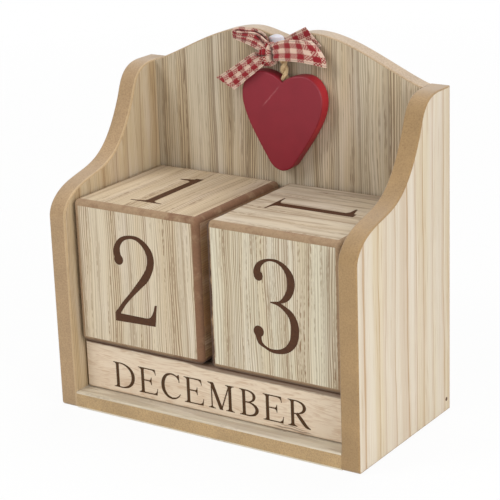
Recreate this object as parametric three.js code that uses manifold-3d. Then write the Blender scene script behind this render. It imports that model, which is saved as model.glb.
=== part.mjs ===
// A perpetual desk calendar: an open-fronted box of veneered board with an arched back,
// two numbered cubes on three month bars, and a painted heart hung on twine from a ribbon bow.
// Millimetres, +Z up, the front faces -Y, the origin is in the middle of the underside.
import * as THREE from "three";
import { RoundedBoxGeometry } from "three/addons/geometries/RoundedBoxGeometry.js";
import { mergeVertices } from "three/addons/utils/BufferGeometryUtils.js";
import Module from "manifold-3d";

const wasm = await Module();
wasm.setup();

// The boards
const sideBoard = 8.4;
const baseBoard = 7.6;
const backBoard = 7.8;
const veneer = 0.9;
const sandedArris = 0.6;
const footRadius = 1.5;

// The cubes, which stand side by side, and the room round them
const cube = 63.6;
const cubeArris = 2.5;
const cubeSkin = 0.5;
const cubeGap = 4;
const cubeSideGap = 1;
const cubeRearGap = 1;
const cubeSetBack = 4.6;
const clearance = 0.3;

// The month bars, which carry the cubes
const barDepth = 20.4;
const barHeight = 21.7;
const barEndGap = 0.9;
const barArris = 0.9;
const barSpacing = 0.2;

// The heart, and how far it hangs below the knot and above the cubes
const heartWidth = 39.8;
const heartDrop = 38.6;
const lobeRise = 3.8;
const heartThickness = 6;
const heartArris = 0.8;
const heartTilt = -1.9;
const heartHang = 11.3;
const heartHeadroom = 6;

// The twine
const twineDiameter = 3.2;
const twineGap = 1.7;
const twineHoleDepth = 5;
const twineEnd = 1.1;
const twineLean = 0.6;

// The ribbon and its bow, whose knot is glued to the back a little below its top
const ribbonWidth = 9.5;
const ribbonThickness = 0.5;
const knotOffset = -3.1;
const knotDrop = 9.4;
const knotWidth = 6;
const knotRadius = 4.3;
const knotLean = 12;
const leftLoopReach = 17.5;
const leftLoopRise = 9.9;
const rightLoopReach = 23.6;
const rightLoopRise = 10;
const leftTailReach = 24;
const leftTailDrop = 15.2;
const rightTailReach = 19.4;
const rightTailRise = 8.3;
const bowProud = 1.9;

// The dab of glue over the knot
const glueWidth = 6.8;
const glueHeight = 4.2;
const glueStandOff = 3.6;
const glueOffset = 3.4;
const glueRise = 5.7;

// The back's two humps
const archFall = 18;
const archStep = 0.2;
const dipDepth = 3.3;
const humpOffset = 15;
const dipSlope = 13.5;
const archEndSlope = 19.3;

// The ogee of each side, down from its top: a flat, a round top, a hollow neck and a round shoulder
const topFlat = 9;
const neckReach = 51;
const neckDrop = 14.2;
const neckSlope = 65.4;
const shoulderReach = 12.1;
const shoulderDrop = 43;
const shoulderSlope = 18.5;
const uprightDrop = 55.5;

// Smoothness
const outlineSteps = 14;
const arrisSteps = 2;
const cubeArrisSteps = 3;
const ribbonSteps = 30;
const tubeSteps = 10;
const tubeSides = 10;
const lumpSides = 16;
const overrun = 2;

// Turns, in degrees
const quarterTurn = 90;
const halfTurn = 180;

// Sizes and places that follow from the sizes above
const bayHalf = cube + cubeSideGap + cubeGap / 2;
const width = 2 * (bayHalf + sideBoard);
const depth = cubeSetBack + cube + cubeRearGap + backBoard;
const front = -depth / 2;
const rear = depth / 2;
const panelFace = rear - backBoard;
const barTop = baseBoard + clearance + barHeight;
const cubeTop = barTop + clearance + cube;
const heartTip = cubeTop + heartHeadroom;
const heartNotch = heartTip + heartDrop;
const heartTop = heartNotch + lobeRise;
const knotHeight = heartNotch + heartHang;
const twineTop = knotHeight + twineEnd;
const twineHole = twineDiameter + 2 * clearance;
const heartOffset = knotOffset + (knotWidth + twineDiameter) / 2 + twineGap;
const bowStandOff = clearance + heartThickness + bowProud;
const knotOut = knotRadius + clearance;
const archHeight = knotHeight + knotDrop;
const archDip = archHeight - dipDepth;
const sideHeight = archHeight - archFall;
const archEnd = sideHeight - archStep;

const finishes = {
  board: new THREE.MeshStandardMaterial({ color: 0xb9996c, roughness: 0.85, metalness: 0 }),
  veneer: new THREE.MeshStandardMaterial({ color: 0xd8c8a8, roughness: 0.7, metalness: 0 }),
  block: new THREE.MeshStandardMaterial({ color: 0x9c7558, roughness: 0.8, metalness: 0 }),
  bar: new THREE.MeshStandardMaterial({ color: 0xdcc49c, roughness: 0.7, metalness: 0 }),
  paint: new THREE.MeshStandardMaterial({ color: 0x8e2f38, roughness: 0.45, metalness: 0 }),
  twine: new THREE.MeshStandardMaterial({ color: 0xc6a679, roughness: 0.95, metalness: 0 }),
  ribbon: new THREE.MeshStandardMaterial({ color: 0xb96a66, roughness: 0.9, metalness: 0 }),
  glue: new THREE.MeshStandardMaterial({ color: 0xe6e2e0, roughness: 0.25, metalness: 0 }),
};

const calendar = new THREE.Group();

// Turns a closed geometry into a solid that can be joined and cut.
function solid(geometry) {
  const bare = geometry.index ? geometry.toNonIndexed() : geometry.clone();
  bare.deleteAttribute("normal");
  bare.deleteAttribute("uv");
  const merged = mergeVertices(bare);
  const vertProperties = merged.attributes.position.array;
  const triVerts = new Uint32Array(merged.index.array);
  return new wasm.Manifold(new wasm.Mesh({ numProp: 3, vertProperties, triVerts }));
}

// Turns a solid back into a geometry with flat-shaded faces.
function geometryOf(body) {
  const mesh = body.getMesh();
  const positions = new THREE.BufferAttribute(new Float32Array(mesh.vertProperties), 3);
  const indexed = new THREE.BufferGeometry();
  indexed.setAttribute("position", positions);
  indexed.setIndex(new THREE.BufferAttribute(new Uint32Array(mesh.triVerts), 1));
  const flat = indexed.toNonIndexed();
  flat.computeVertexNormals();
  return flat;
}

// Adds one named piece to a group.
function addPiece(group, name, geometry, finish) {
  const piece = new THREE.Mesh(geometry, finish);
  piece.name = name;
  group.add(piece);
  return piece;
}

// A box between two corners.
function boxBetween(low, high) {
  const size = high.map((value, axis) => value - low[axis]);
  const box = new THREE.BoxGeometry(...size);
  return box.translate(low[0] + size[0] / 2, low[1] + size[1] / 2, low[2] + size[2] / 2);
}

// A board sawn to an outline, with both of its rims sanded round. It lies on its first face.
function sandedBoard(outline, thickness) {
  const blank = new THREE.ExtrudeGeometry(outline, {
    depth: thickness - 2 * sandedArris,
    bevelThickness: sandedArris,
    bevelSize: sandedArris,
    bevelOffset: -sandedArris,
    bevelSegments: arrisSteps,
    curveSegments: outlineSteps,
  });
  return blank.translate(0, 0, sandedArris);
}

// The same board with square rims, for the stretches where another board butts against it.
function squareBoard(outline, thickness) {
  return new THREE.ExtrudeGeometry(outline, {
    depth: thickness,
    bevelEnabled: false,
    curveSegments: outlineSteps,
  });
}

// A point's two coordinates, a length and an angle away from it.
function away(point, length, degrees) {
  const angle = THREE.MathUtils.degToRad(degrees);
  return [point[0] + length * Math.cos(angle), point[1] + length * Math.sin(angle)];
}

// Carries an outline along a curve that leaves its start and enters its end at given slopes, and
// holds to each slope for a share of the distance between them.
function sweep(outline, start, startSlope, end, endSlope, shares) {
  const span = Math.hypot(end[0] - start[0], end[1] - start[1]);
  const first = away(start, span * shares[0], startSlope);
  const second = away(end, -span * shares[1], endSlope);
  outline.bezierCurveTo(...first, ...second, ...end);
}

// The side's outline: depth from the front edge across, height up.
function sideOutline() {
  const start = [0, sideHeight - uprightDrop];
  const shoulder = [shoulderReach, sideHeight - shoulderDrop];
  const neck = [neckReach, sideHeight - neckDrop];
  const top = [depth - topFlat, sideHeight];
  const topShares = [0.62, 0.25];
  const neckShares = [0.63, 0.32];
  const shoulderShares = [0.26, 0.41];
  const neckTurn = halfTurn + neckSlope;
  const shoulderTurn = halfTurn + shoulderSlope;
  const outline = new THREE.Shape();
  outline.moveTo(0, footRadius);
  outline.quadraticCurveTo(0, 0, footRadius, 0);
  outline.lineTo(depth, 0);
  outline.lineTo(depth, sideHeight);
  outline.lineTo(...top);
  sweep(outline, top, halfTurn, neck, neckTurn, topShares);
  sweep(outline, neck, neckTurn, shoulder, shoulderTurn, neckShares);
  sweep(outline, shoulder, shoulderTurn, start, -quarterTurn, shoulderShares);
  outline.lineTo(0, footRadius);
  return outline;
}

// The back's outline: two humps that meet in a shallow dip. Its ends are left long, to be trimmed.
function backOutline() {
  const edge = bayHalf + overrun;
  const dip = [0, archDip];
  const rightEnd = [bayHalf, archEnd];
  const leftEnd = [-bayHalf, archEnd];
  const rightHump = [humpOffset, archHeight];
  const leftHump = [-humpOffset, archHeight];
  const outerShares = [0.31, 0.31];
  const innerShares = [0.32, 0.32];
  const outline = new THREE.Shape();
  outline.moveTo(-edge, -overrun);
  outline.lineTo(edge, -overrun);
  outline.lineTo(edge, archEnd);
  outline.lineTo(...rightEnd);
  sweep(outline, rightEnd, halfTurn - archEndSlope, rightHump, halfTurn, outerShares);
  sweep(outline, rightHump, halfTurn, dip, halfTurn + dipSlope, innerShares);
  sweep(outline, dip, halfTurn - dipSlope, leftHump, halfTurn, innerShares);
  sweep(outline, leftHump, halfTurn, leftEnd, halfTurn + archEndSlope, outerShares);
  outline.lineTo(-edge, archEnd);
  outline.lineTo(-edge, -overrun);
  return outline;
}

// Cuts a board through its thickness into a veneer, a core and a veneer, along one axis.
function layersOf(body, axis, low, high) {
  const reach = 2 * (width + depth + archHeight);
  const cuts = [low - overrun, low + veneer, high - veneer, high + overrun];
  return [0, 1, 2].map((layer) => {
    const from = [-reach, -reach, -reach];
    const to = [reach, reach, reach];
    from[axis] = cuts[layer];
    to[axis] = cuts[layer + 1];
    return geometryOf(body.intersect(solid(boxBetween(from, to))));
  });
}

// Adds the three layers of a board as three pieces.
function addBoard(names, layers) {
  addPiece(calendar, names[0], layers[0], finishes.veneer);
  addPiece(calendar, names[1], layers[1], finishes.board);
  addPiece(calendar, names[2], layers[2], finishes.veneer);
}

// A side board, standing at x = left. Its inner rim stays square beside the base and the back.
function addSide(hand, left) {
  const outline = sideOutline();
  const stand = new THREE.Matrix4().makeBasis(
    new THREE.Vector3(0, 1, 0),
    new THREE.Vector3(0, 0, 1),
    new THREE.Vector3(1, 0, 0),
  );
  stand.setPosition(left, front, 0);
  const sanded = solid(sandedBoard(outline, sideBoard).applyMatrix4(stand));
  const square = solid(squareBoard(outline, sideBoard).applyMatrix4(stand));
  const inner = hand === "left" ? left + sideBoard / 2 : left - overrun;
  const innerEnd = hand === "left" ? left + sideBoard + overrun : left + sideBoard / 2;
  const besideBase = boxBetween([inner, front - overrun, -overrun], [innerEnd, rear, baseBoard]);
  const besideBack = boxBetween([inner, panelFace, -overrun], [innerEnd, rear + overrun, archEnd]);
  const butted = square.intersect(solid(besideBase).add(solid(besideBack)));
  const layers = layersOf(sanded.add(butted), 0, left, left + sideBoard);
  const outerFirst = [hand + "_side_outer_veneer", hand + "_side_core", hand + "_side_inner_veneer"];
  addBoard(hand === "left" ? outerFirst : outerFirst.reverse(), layers);
}

// The base, between the sides and in front of the back. Only its front arrises are sanded.
function addBase() {
  const outline = new THREE.Shape();
  const edge = bayHalf + overrun;
  outline.moveTo(-edge, front);
  outline.lineTo(edge, front);
  outline.lineTo(edge, panelFace + overrun);
  outline.lineTo(-edge, panelFace + overrun);
  outline.lineTo(-edge, front);
  const room = boxBetween([-bayHalf, front - overrun, -overrun], [bayHalf, panelFace, baseBoard + overrun]);
  const base = solid(sandedBoard(outline, baseBoard)).intersect(solid(room));
  addBoard(["base_bottom_veneer", "base_core", "base_top_veneer"], layersOf(base, 2, 0, baseBoard));
}

// The back, between the sides. Only its arched top is sanded.
function addBack() {
  const stand = new THREE.Matrix4().makeRotationX(Math.PI / 2).setPosition(0, rear, 0);
  const blank = solid(sandedBoard(backOutline(), backBoard).applyMatrix4(stand));
  const room = boxBetween([-bayHalf, panelFace - overrun, 0], [bayHalf, rear + overrun, archHeight + overrun]);
  const back = blank.intersect(solid(room));
  const names = ["back_panel_front_veneer", "back_panel_core", "back_panel_rear_veneer"];
  addBoard(names, layersOf(back, 1, panelFace, rear));
}

// A numbered cube: a block with sanded arrises and a thin face let into each of its six sides.
function addCube(hand, centreX) {
  const half = cube / 2;
  const group = new THREE.Group();
  group.position.set(centreX, front + cubeSetBack + half, barTop + clearance + half);
  calendar.add(group);
  const plateEdge = half - cubeArris;
  const sides = [
    ["left", 0, -1],
    ["right", 0, 1],
    ["front", 1, -1],
    ["rear", 1, 1],
    ["bottom", 2, -1],
    ["top", 2, 1],
  ];
  let block = solid(new RoundedBoxGeometry(cube, cube, cube, cubeArrisSteps, cubeArris));
  for (const [side, axis, sign] of sides) {
    const low = [-plateEdge, -plateEdge, -plateEdge];
    const high = [plateEdge, plateEdge, plateEdge];
    low[axis] = sign < 0 ? -half : half - cubeSkin;
    high[axis] = sign < 0 ? -half + cubeSkin : half;
    const plate = boxBetween(low, high);
    const pocketLow = [...low];
    const pocketHigh = [...high];
    pocketLow[axis] = sign < 0 ? -half - overrun : low[axis];
    pocketHigh[axis] = sign < 0 ? high[axis] : half + overrun;
    block = block.subtract(solid(boxBetween(pocketLow, pocketHigh)));
    addPiece(group, hand + "_cube_" + side + "_face", plate, finishes.veneer);
  }
  addPiece(group, hand + "_cube_block", geometryOf(block), finishes.block);
}

// The three month bars, one behind another, from the back forward.
function addBars() {
  const length = 2 * (bayHalf - barEndGap);
  ["rear_month_bar", "middle_month_bar", "front_month_bar"].forEach((name, place) => {
    const shape = new RoundedBoxGeometry(length, barDepth, barHeight, cubeArrisSteps, barArris);
    const bar = addPiece(calendar, name, shape, finishes.bar);
    const rearFace = panelFace - clearance - place * (barDepth + barSpacing);
    bar.position.set(0, rearFace - barDepth / 2, baseBoard + clearance + barHeight / 2);
  });
}

// The heart's outline, about the middle of its width, up from its tip.
function heartOutline() {
  const half = heartWidth / 2;
  const height = heartTop - heartTip;
  const lobeShare = 0.545;
  const widestShare = 0.751;
  const flankShares = [0.306, 0.082];
  const notchSlope = 39.5;
  const flankSlope = 56.3;
  const curveShares = [
    [0.3, 0.44],
    [0.37, 0.37],
    [0.26, 0.46],
    [0.32, 0.35],
  ];
  const notch = [0, heartNotch - heartTip];
  const lobe = [half * lobeShare, height];
  const widest = [half, height * widestShare];
  const flank = [half * flankShares[0], height * flankShares[1]];
  const tip = [0, 0];
  const mirrored = ([across, up]) => [-across, up];
  const backward = ([leaving, entering]) => [entering, leaving];
  const outline = new THREE.Shape();
  outline.moveTo(...notch);
  sweep(outline, notch, notchSlope, lobe, 0, curveShares[0]);
  sweep(outline, lobe, 0, widest, -quarterTurn, curveShares[1]);
  sweep(outline, widest, -quarterTurn, flank, halfTurn + flankSlope, curveShares[2]);
  sweep(outline, flank, halfTurn + flankSlope, tip, halfTurn, curveShares[3]);
  const leftFlank = mirrored(flank);
  const leftWidest = mirrored(widest);
  const leftLobe = mirrored(lobe);
  sweep(outline, tip, halfTurn, leftFlank, halfTurn - flankSlope, backward(curveShares[3]));
  sweep(outline, leftFlank, halfTurn - flankSlope, leftWidest, quarterTurn, backward(curveShares[2]));
  sweep(outline, leftWidest, quarterTurn, leftLobe, 0, backward(curveShares[1]));
  sweep(outline, leftLobe, 0, notch, -notchSlope, backward(curveShares[0]));
  return outline;
}

// The twine's route from the bottom of its hole to its upper end behind the bow.
function twineRoute() {
  const heartMiddle = panelFace - clearance - heartThickness / 2;
  const endShare = 0.62;
  const upperEnd = panelFace - bowStandOff * endShare;
  const bottom = heartNotch - twineHoleDepth + clearance;
  const halfWay = (heartNotch + twineTop) / 2;
  return new THREE.CatmullRomCurve3([
    new THREE.Vector3(heartOffset, heartMiddle, bottom),
    new THREE.Vector3(heartOffset, heartMiddle, heartNotch),
    new THREE.Vector3(heartOffset + twineLean / 2, (heartMiddle + upperEnd) / 2, halfWay),
    new THREE.Vector3(heartOffset + twineLean, upperEnd, twineTop),
  ]);
}

// The painted heart, drilled down from its notch for the twine, and the twine in it.
function addHeart() {
  const blank = new THREE.ExtrudeGeometry(heartOutline(), {
    depth: heartThickness - 2 * heartArris,
    bevelThickness: heartArris,
    bevelSize: heartArris,
    bevelOffset: -heartArris,
    bevelSegments: arrisSteps,
    curveSegments: outlineSteps,
  });
  const rearFace = panelFace - clearance;
  const hang = heartNotch - heartTip;
  blank.translate(0, -hang, heartArris);
  blank.rotateZ(THREE.MathUtils.degToRad(heartTilt));
  blank.translate(0, hang, 0);
  blank.rotateX(Math.PI / 2);
  blank.translate(heartOffset, rearFace, heartTip);
  const holeLength = twineHoleDepth + heartTop - heartNotch;
  const hole = new THREE.CylinderGeometry(twineHole / 2, twineHole / 2, holeLength, tubeSides);
  hole.rotateX(Math.PI / 2);
  const holeBottom = heartNotch - twineHoleDepth;
  hole.translate(heartOffset, rearFace - heartThickness / 2, holeBottom + holeLength / 2);
  const heart = solid(blank).subtract(solid(hole));
  addPiece(calendar, "heart_pendant", geometryOf(heart), finishes.paint);

  const section = new THREE.Shape();
  section.absarc(0, 0, twineDiameter / 2, 0, 2 * Math.PI);
  const tube = new THREE.ExtrudeGeometry(section, {
    steps: tubeSteps,
    extrudePath: twineRoute(),
    curveSegments: tubeSides / 2,
  });
  addPiece(calendar, "heart_twine", geometryOf(solid(tube)), finishes.twine);
}

// A stretch of ribbon. Each row of its table gives a place and the direction across the ribbon there:
// shares of the reach, the rise and the stand-off, three shares of the direction, and of the width.
function ribbonStretch(rows, reach, rise, thickness, slant) {
  const places = new THREE.CatmullRomCurve3(
    rows.map((row) => new THREE.Vector3(row[0] * reach, -row[2] * bowStandOff, row[1] * rise)),
  );
  const acrosses = new THREE.CatmullRomCurve3(
    rows.map((row) => new THREE.Vector3(row[3], -row[4], row[5]).normalize().multiplyScalar(row[6])),
  );
  const vertices = [];
  const last = 1 / (1 + Math.abs(slant));
  for (let step = 0; step <= ribbonSteps; step += 1) {
    const along = (step / ribbonSteps) * last;
    const across = acrosses.getPoint(along / last).multiplyScalar(ribbonWidth / 2);
    for (const edge of [-1, 1]) {
      const at = along * (1 + slant * edge);
      const middle = places.getPoint(at);
      const normal = places.getTangent(at).cross(across).normalize();
      for (const face of [-1, 1]) {
        const corner = middle.clone().addScaledVector(across, edge);
        corner.addScaledVector(normal, (face * thickness) / 2);
        vertices.push(corner.x, corner.y, corner.z);
      }
    }
  }
  return closedSections(vertices, ribbonSteps);
}

// Joins sections of four corners each, in the order in which they were pushed, into a closed skin.
function closedSections(vertices, steps) {
  const round = [0, 2, 3, 1];
  const index = [];
  for (let step = 0; step < steps; step += 1) {
    for (let side = 0; side < round.length; side += 1) {
      const a = step * 4 + round[side];
      const b = step * 4 + round[(side + 1) % round.length];
      index.push(a, b, b + 4, a, b + 4, a + 4);
    }
  }
  const end = steps * 4;
  index.push(round[0], round[3], round[2], round[0], round[2], round[1]);
  index.push(end + round[0], end + round[1], end + round[2], end + round[0], end + round[2], end + round[3]);
  const skin = new THREE.BufferGeometry();
  skin.setAttribute("position", new THREE.BufferAttribute(new Float32Array(vertices), 3));
  skin.setIndex(index);
  return skin;
}

// The knot: a barrel across the bow, leaning a little, with rounded shoulders.
function knotBarrel(extra) {
  const radius = knotRadius + extra;
  const half = knotWidth / 2 + extra;
  const profileShares = [
    [0, -1],
    [0.62, -1],
    [0.86, -0.78],
    [1, -0.3],
    [1, 0.3],
    [0.86, 0.78],
    [0.62, 1],
    [0, 1],
  ];
  const profile = profileShares.map(([out, along]) => new THREE.Vector2(out * radius, along * half));
  const barrel = new THREE.LatheGeometry(profile, lumpSides);
  barrel.rotateZ(Math.PI / 2);
  barrel.rotateY(THREE.MathUtils.degToRad(knotLean));
  return barrel.translate(0, -knotOut, 0);
}

// The whole bow about its knot, at y = 0 on the face of the back: the knot, two loops and two tails.
function bowBody(extra) {
  const thickness = ribbonThickness + 2 * extra;
  const leftLoopShares = [
    [0, 0.1, 0.6, 0, -0.6, 0.8, 0.55],
    [-0.14, 0.35, 0.73, -0.15, -0.7, 0.7, 0.72],
    [-0.36, 0.59, 0.73, -0.1, -0.75, 0.66, 0.92],
    [-0.58, 0.74, 0.73, -0.25, -0.9, 0.38, 1],
    [-0.91, 0.75, 0.72, -0.44, -0.86, 0.24, 1],
    [-1, 0.87, 0.64, -0.46, -0.86, 0, 1],
    [-0.89, 1, 0.55, -0.52, -0.83, -0.2, 1],
    [-0.55, 1, 0.55, -0.52, -0.83, -0.2, 1],
    [-0.26, 0.97, 0.55, -0.52, -0.83, -0.2, 1],
    [-0.09, 0.8, 0.55, -0.5, -0.83, -0.25, 0.95],
    [0, 0.56, 0.55, -0.4, -0.85, -0.25, 0.85],
    [0.02, 0.1, 0.5, 0, -0.8, -0.3, 0.55],
  ];
  const rightLoopShares = [
    [0, 0.02, 0.78, 0, 0, 1, 0.55],
    [0.2, 0.19, 0.98, 0, 0, 1, 0.8],
    [0.42, 0.29, 1, -0.04, 0, 1, 0.93],
    [0.71, 0.31, 0.98, -0.15, 0, 1, 0.98],
    [0.9, 0.25, 0.88, -0.45, 0.04, 0.88, 1.15],
    [1, 0.18, 0.6, -0.58, 0, 0.81, 1.36],
    [0.92, 0.2, 0.38, -0.45, 0, 0.88, 1.15],
    [0.64, 0.18, 0.3, -0.1, 0, 1, 1],
    [0.32, 0.16, 0.3, 0, 0, 1, 0.9],
    [0, 0, 0.36, 0, 0, 1, 0.55],
  ];
  const leftTailShares = [
    [0.03, -0.04, 0.8, -0.45, 0, 0.9, 0.55],
    [-0.09, -0.18, 0.92, -0.5, 0, 0.87, 0.76],
    [-0.38, -0.44, 0.93, -0.54, 0, 0.84, 0.92],
    [-0.74, -0.75, 0.9, -0.54, 0, 0.84, 0.96],
    [-1.06, -1.06, 0.86, -0.5, 0, 0.87, 0.96],
  ];
  const rightTailShares = [
    [0, 0, 0.3, -0.4, 0, 0.9, 0.5],
    [0.24, 0.2, 0.15, -0.45, 0, 0.9, 0.8],
    [0.5, 0.44, 0.13, -0.48, 0, 0.88, 0.98],
    [0.8, 0.77, 0.13, -0.48, 0, 0.88, 1.03],
    [1.07, 1.07, 0.14, -0.48, 0, 0.88, 1.05],
  ];
  return solid(knotBarrel(extra))
    .add(solid(ribbonStretch(leftLoopShares, leftLoopReach, leftLoopRise, thickness, 0)))
    .add(solid(ribbonStretch(rightLoopShares, rightLoopReach, rightLoopRise, thickness, 0)))
    .add(solid(ribbonStretch(leftTailShares, leftTailReach, leftTailDrop, thickness, 0.13)))
    .add(solid(ribbonStretch(rightTailShares, rightTailReach, rightTailRise, thickness, -0.073)));
}

// The bow in its place, and the glue that holds it, moulded round the ribbon.
function addBow() {
  const group = new THREE.Group();
  group.position.set(knotOffset, panelFace, knotHeight);
  calendar.add(group);
  addPiece(group, "ribbon_bow", geometryOf(bowBody(0)), finishes.ribbon);

  const lump = new THREE.SphereGeometry(1 / 2, lumpSides, lumpSides / 2);
  lump.scale(glueWidth, 2 * glueStandOff, glueHeight);
  lump.translate(glueOffset, 0, glueRise);
  const room = boxBetween([-width, -depth, -archHeight], [width, 0, archHeight]);
  const dab = solid(lump).intersect(solid(room)).subtract(bowBody(clearance));
  addPiece(group, "glue_dab", geometryOf(dab), finishes.glue);
}

addSide("left", -width / 2);
addSide("right", width / 2 - sideBoard);
addBase();
addBack();
addCube("left", -bayHalf + cubeSideGap + cube / 2);
addCube("right", bayHalf - cubeSideGap - cube / 2);
addBars();
addHeart();
addBow();

export default calendar;
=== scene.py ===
# A perpetual desk calendar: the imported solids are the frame, and this file gives them their finish.
# It is laid out as an add-on with one operator for each piece or group of like pieces.
import math

import bmesh
import bpy
import numpy as np
from bpy.props import FloatProperty, FloatVectorProperty, PointerProperty
from bpy.types import Operator, Panel, PropertyGroup
from mathutils import Matrix, Vector
from mathutils.geometry import delaunay_2d_cdt


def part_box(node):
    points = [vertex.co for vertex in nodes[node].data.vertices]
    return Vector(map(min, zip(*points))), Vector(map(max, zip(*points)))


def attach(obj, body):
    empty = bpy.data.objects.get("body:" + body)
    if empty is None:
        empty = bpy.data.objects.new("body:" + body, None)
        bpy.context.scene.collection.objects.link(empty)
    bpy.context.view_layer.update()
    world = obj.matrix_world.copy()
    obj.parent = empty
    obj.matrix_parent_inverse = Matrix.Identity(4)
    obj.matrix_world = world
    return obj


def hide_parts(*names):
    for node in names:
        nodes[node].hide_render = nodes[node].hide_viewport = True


bl_info = {
    "name": "Perpetual desk calendar",
    "version": (1, 0, 0),
    "blender": (4, 5, 0),
    "location": "View3D > Sidebar > Calendar",
    "description": "Finishes a desk calendar of veneered board round its packed solids",
    "category": "Add Mesh",
}

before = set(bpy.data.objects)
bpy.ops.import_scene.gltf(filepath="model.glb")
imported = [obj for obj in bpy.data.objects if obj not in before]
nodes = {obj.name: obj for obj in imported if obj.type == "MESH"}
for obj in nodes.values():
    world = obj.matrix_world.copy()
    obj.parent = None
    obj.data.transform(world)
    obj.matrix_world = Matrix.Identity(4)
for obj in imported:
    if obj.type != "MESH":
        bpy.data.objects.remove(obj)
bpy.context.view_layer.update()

MM = 0.001
# faces that meet at less than this angle look rounded, and points nearer than this many metres are welded
SMOOTH_ANGLE = math.radians(38)
WELD = 1e-7


# Colours and settings

def linear(hex_colour):
    """An sRGB hex colour as linear RGBA: v / 12.92 in the dark, else ((v + 0.055) / 1.055) ** 2.4."""
    values = np.array([int(hex_colour[at:at + 2], 16) for at in (1, 3, 5)]) / 255
    bright = ((values + 0.055) / 1.055) ** 2.4
    return (*np.where(values <= 0.04045, values / 12.92, bright).tolist(), 1.0)


def colour(name, text, hex_colour):
    """A colour that a user may change."""
    return FloatVectorProperty(
        name=name, description=text, default=linear(hex_colour), subtype="COLOR", size=4, min=0, max=1
    )


def length(name, text, millimetres):
    """A size that a user may change, in metres."""
    return FloatProperty(name=name, description=text, default=millimetres * MM, unit="LENGTH", min=0)


class CalendarBoards(PropertyGroup):
    arris: length("Sanded arris", "Radius of the boards' sanded rims", 0.6)
    foot: length("Foot corner", "Radius of the sides' front bottom corner", 1.5)
    fibre: colour("Fibreboard", "Sawn and sanded edge of the boards", "#af916b")
    fibre_right: colour("Right fibreboard", "Edge of the right side, a browner board", "#a6875c")
    fibre_back: colour("Back fibreboard", "Edge of the back, a paler board", "#bda587")
    fibre_base: colour("Base fibreboard", "Edge of the base, a yellower board", "#bc9e71")
    fibre_dark: colour("Fibreboard fleck", "Darker flecks in the board's edge", "#8b6c49")
    outer: colour("Outer veneer", "Pale wood on the outside of the sides", "#d7ccb9")
    inner: colour("Inner veneer", "Pale wood inside the box", "#c4b292")
    base: colour("Base veneer", "Greyer and paler veneer on the base", "#dfd7c3")
    panel: colour("Back veneer", "Greyer veneer on the front of the back", "#c8baa1")
    panel_pore: colour("Back veneer pore", "Open pores of the back's veneer", "#715b40")
    outer_streak: colour("Outer veneer streak", "Yellower bands on the outside of the sides", "#d0bf9a")
    outer_pore: colour("Outer veneer pore", "Growth lines and pores on the outside of the sides", "#a67a45")
    rim: colour("Veneer rim", "Sanded rims of the veneered layers", "#bda27c")
    streak: colour("Veneer streak", "Late wood in the veneer", "#bc9e70")
    pore: colour("Veneer pore", "Open pores in the veneer", "#866440")


class CalendarCubes(PropertyGroup):
    edge: colour("Cube edge", "Sanded arrises of the cubes", "#a08567")
    # the darker patches are the wood's own; the left cube's arris beside the gap also takes this colour as
    # painted shade
    edge_dark: colour("Cube edge, dark", "Darker patches on the arrises", "#7d5a42")
    # painted shade: the right cube's arris beside the gap, and both cubes' feet
    edge_painted_shade: colour("Cube edge, burnt", "The right cube's inner arris, and both cubes' feet", "#4c3526")
    warm: colour("Warm veneer", "Veneer of the left cube", "#d6c8ae")
    warm_top: colour("Warm veneer, top", "Browner veneer of the left cube's top", "#d2be9d")
    # painted shade: the left cube's right side, in the gap between the cubes, is given a darker brown
    shaded: colour("Brown veneer", "Veneer of the left cube's right side", "#a97d52")
    cool: colour("Cool veneer", "Veneer of the right cube", "#dad2ba")
    cool_top: colour("Cool veneer, top", "Browner veneer of the right cube's top", "#ccbda4")
    pore: colour("Cube pore", "Open pores of the cubes' veneer", "#86694a")
    bar: colour("Bar wood", "Wood of the month bars", "#dfcdb5")
    # saw burn on the bars' arrises and streaks, also used for the painted shade along the bars' top and upper
    # arrises
    burn_and_shade: colour("Saw burn", "Brown arrises and streaks of the bars", "#5f432f")
    bar_dark: colour("Bar grain", "Late wood of the month bars", "#b38a66")


class CalendarPrint(PropertyGroup):
    ink: colour("Print", "Dark brown of the numbers", "#4b2b13")
    word_ink: colour("Bar print", "Yellower brown of the month names", "#472d10")
    rise: length("Print rise", "How far the print stands proud of the wood", 0.06)
    number: length("Number height", "Height of the numbers", 38.9)
    word: length("Capital height", "Height of the capitals on the bars", 11.55)


class CalendarHeart(PropertyGroup):
    arris: length("Heart arris", "Radius of the heart's sanded rims", 0.7)
    paint: colour("Heart paint", "Satin red paint", "#871a2a")
    # painted highlight: the brighter red of the heart's right-hand rim
    lit_rim_paint: colour("Heart rim", "Thicker paint on the heart's rim", "#ab1a2a")
    twine: colour("Twine", "Jute of the twine", "#dbc298")
    twine_dark: colour("Twine, dark", "Deep fibres of the twine", "#8f6d43")


class CalendarRibbon(PropertyGroup):
    width: length("Ribbon width", "Width of the ribbon", 9.5)
    thickness: length("Ribbon thickness", "Thickness of the ribbon", 0.4)
    red: colour("Ribbon red", "Red yarn of the check", "#90151f")
    cream: colour("Ribbon cream", "Cream yarn of the check", "#dabda9")
    glue: colour("Glue", "Set glue at the knot", "#c6c6d0")


class CalendarStage(PropertyGroup):
    floor: colour("Floor", "Plain pale floor", "#ececea")
    lens: FloatProperty(
        name="Lens", description="Focal length on a 36 mm sensor", default=129.7, unit="CAMERA", min=1
    )


# Node and mesh tools

# what the second word of a node's kind sets
MODES = {"Math": "operation", "VectorMath": "operation", "Mix": "data_type"}


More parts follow.
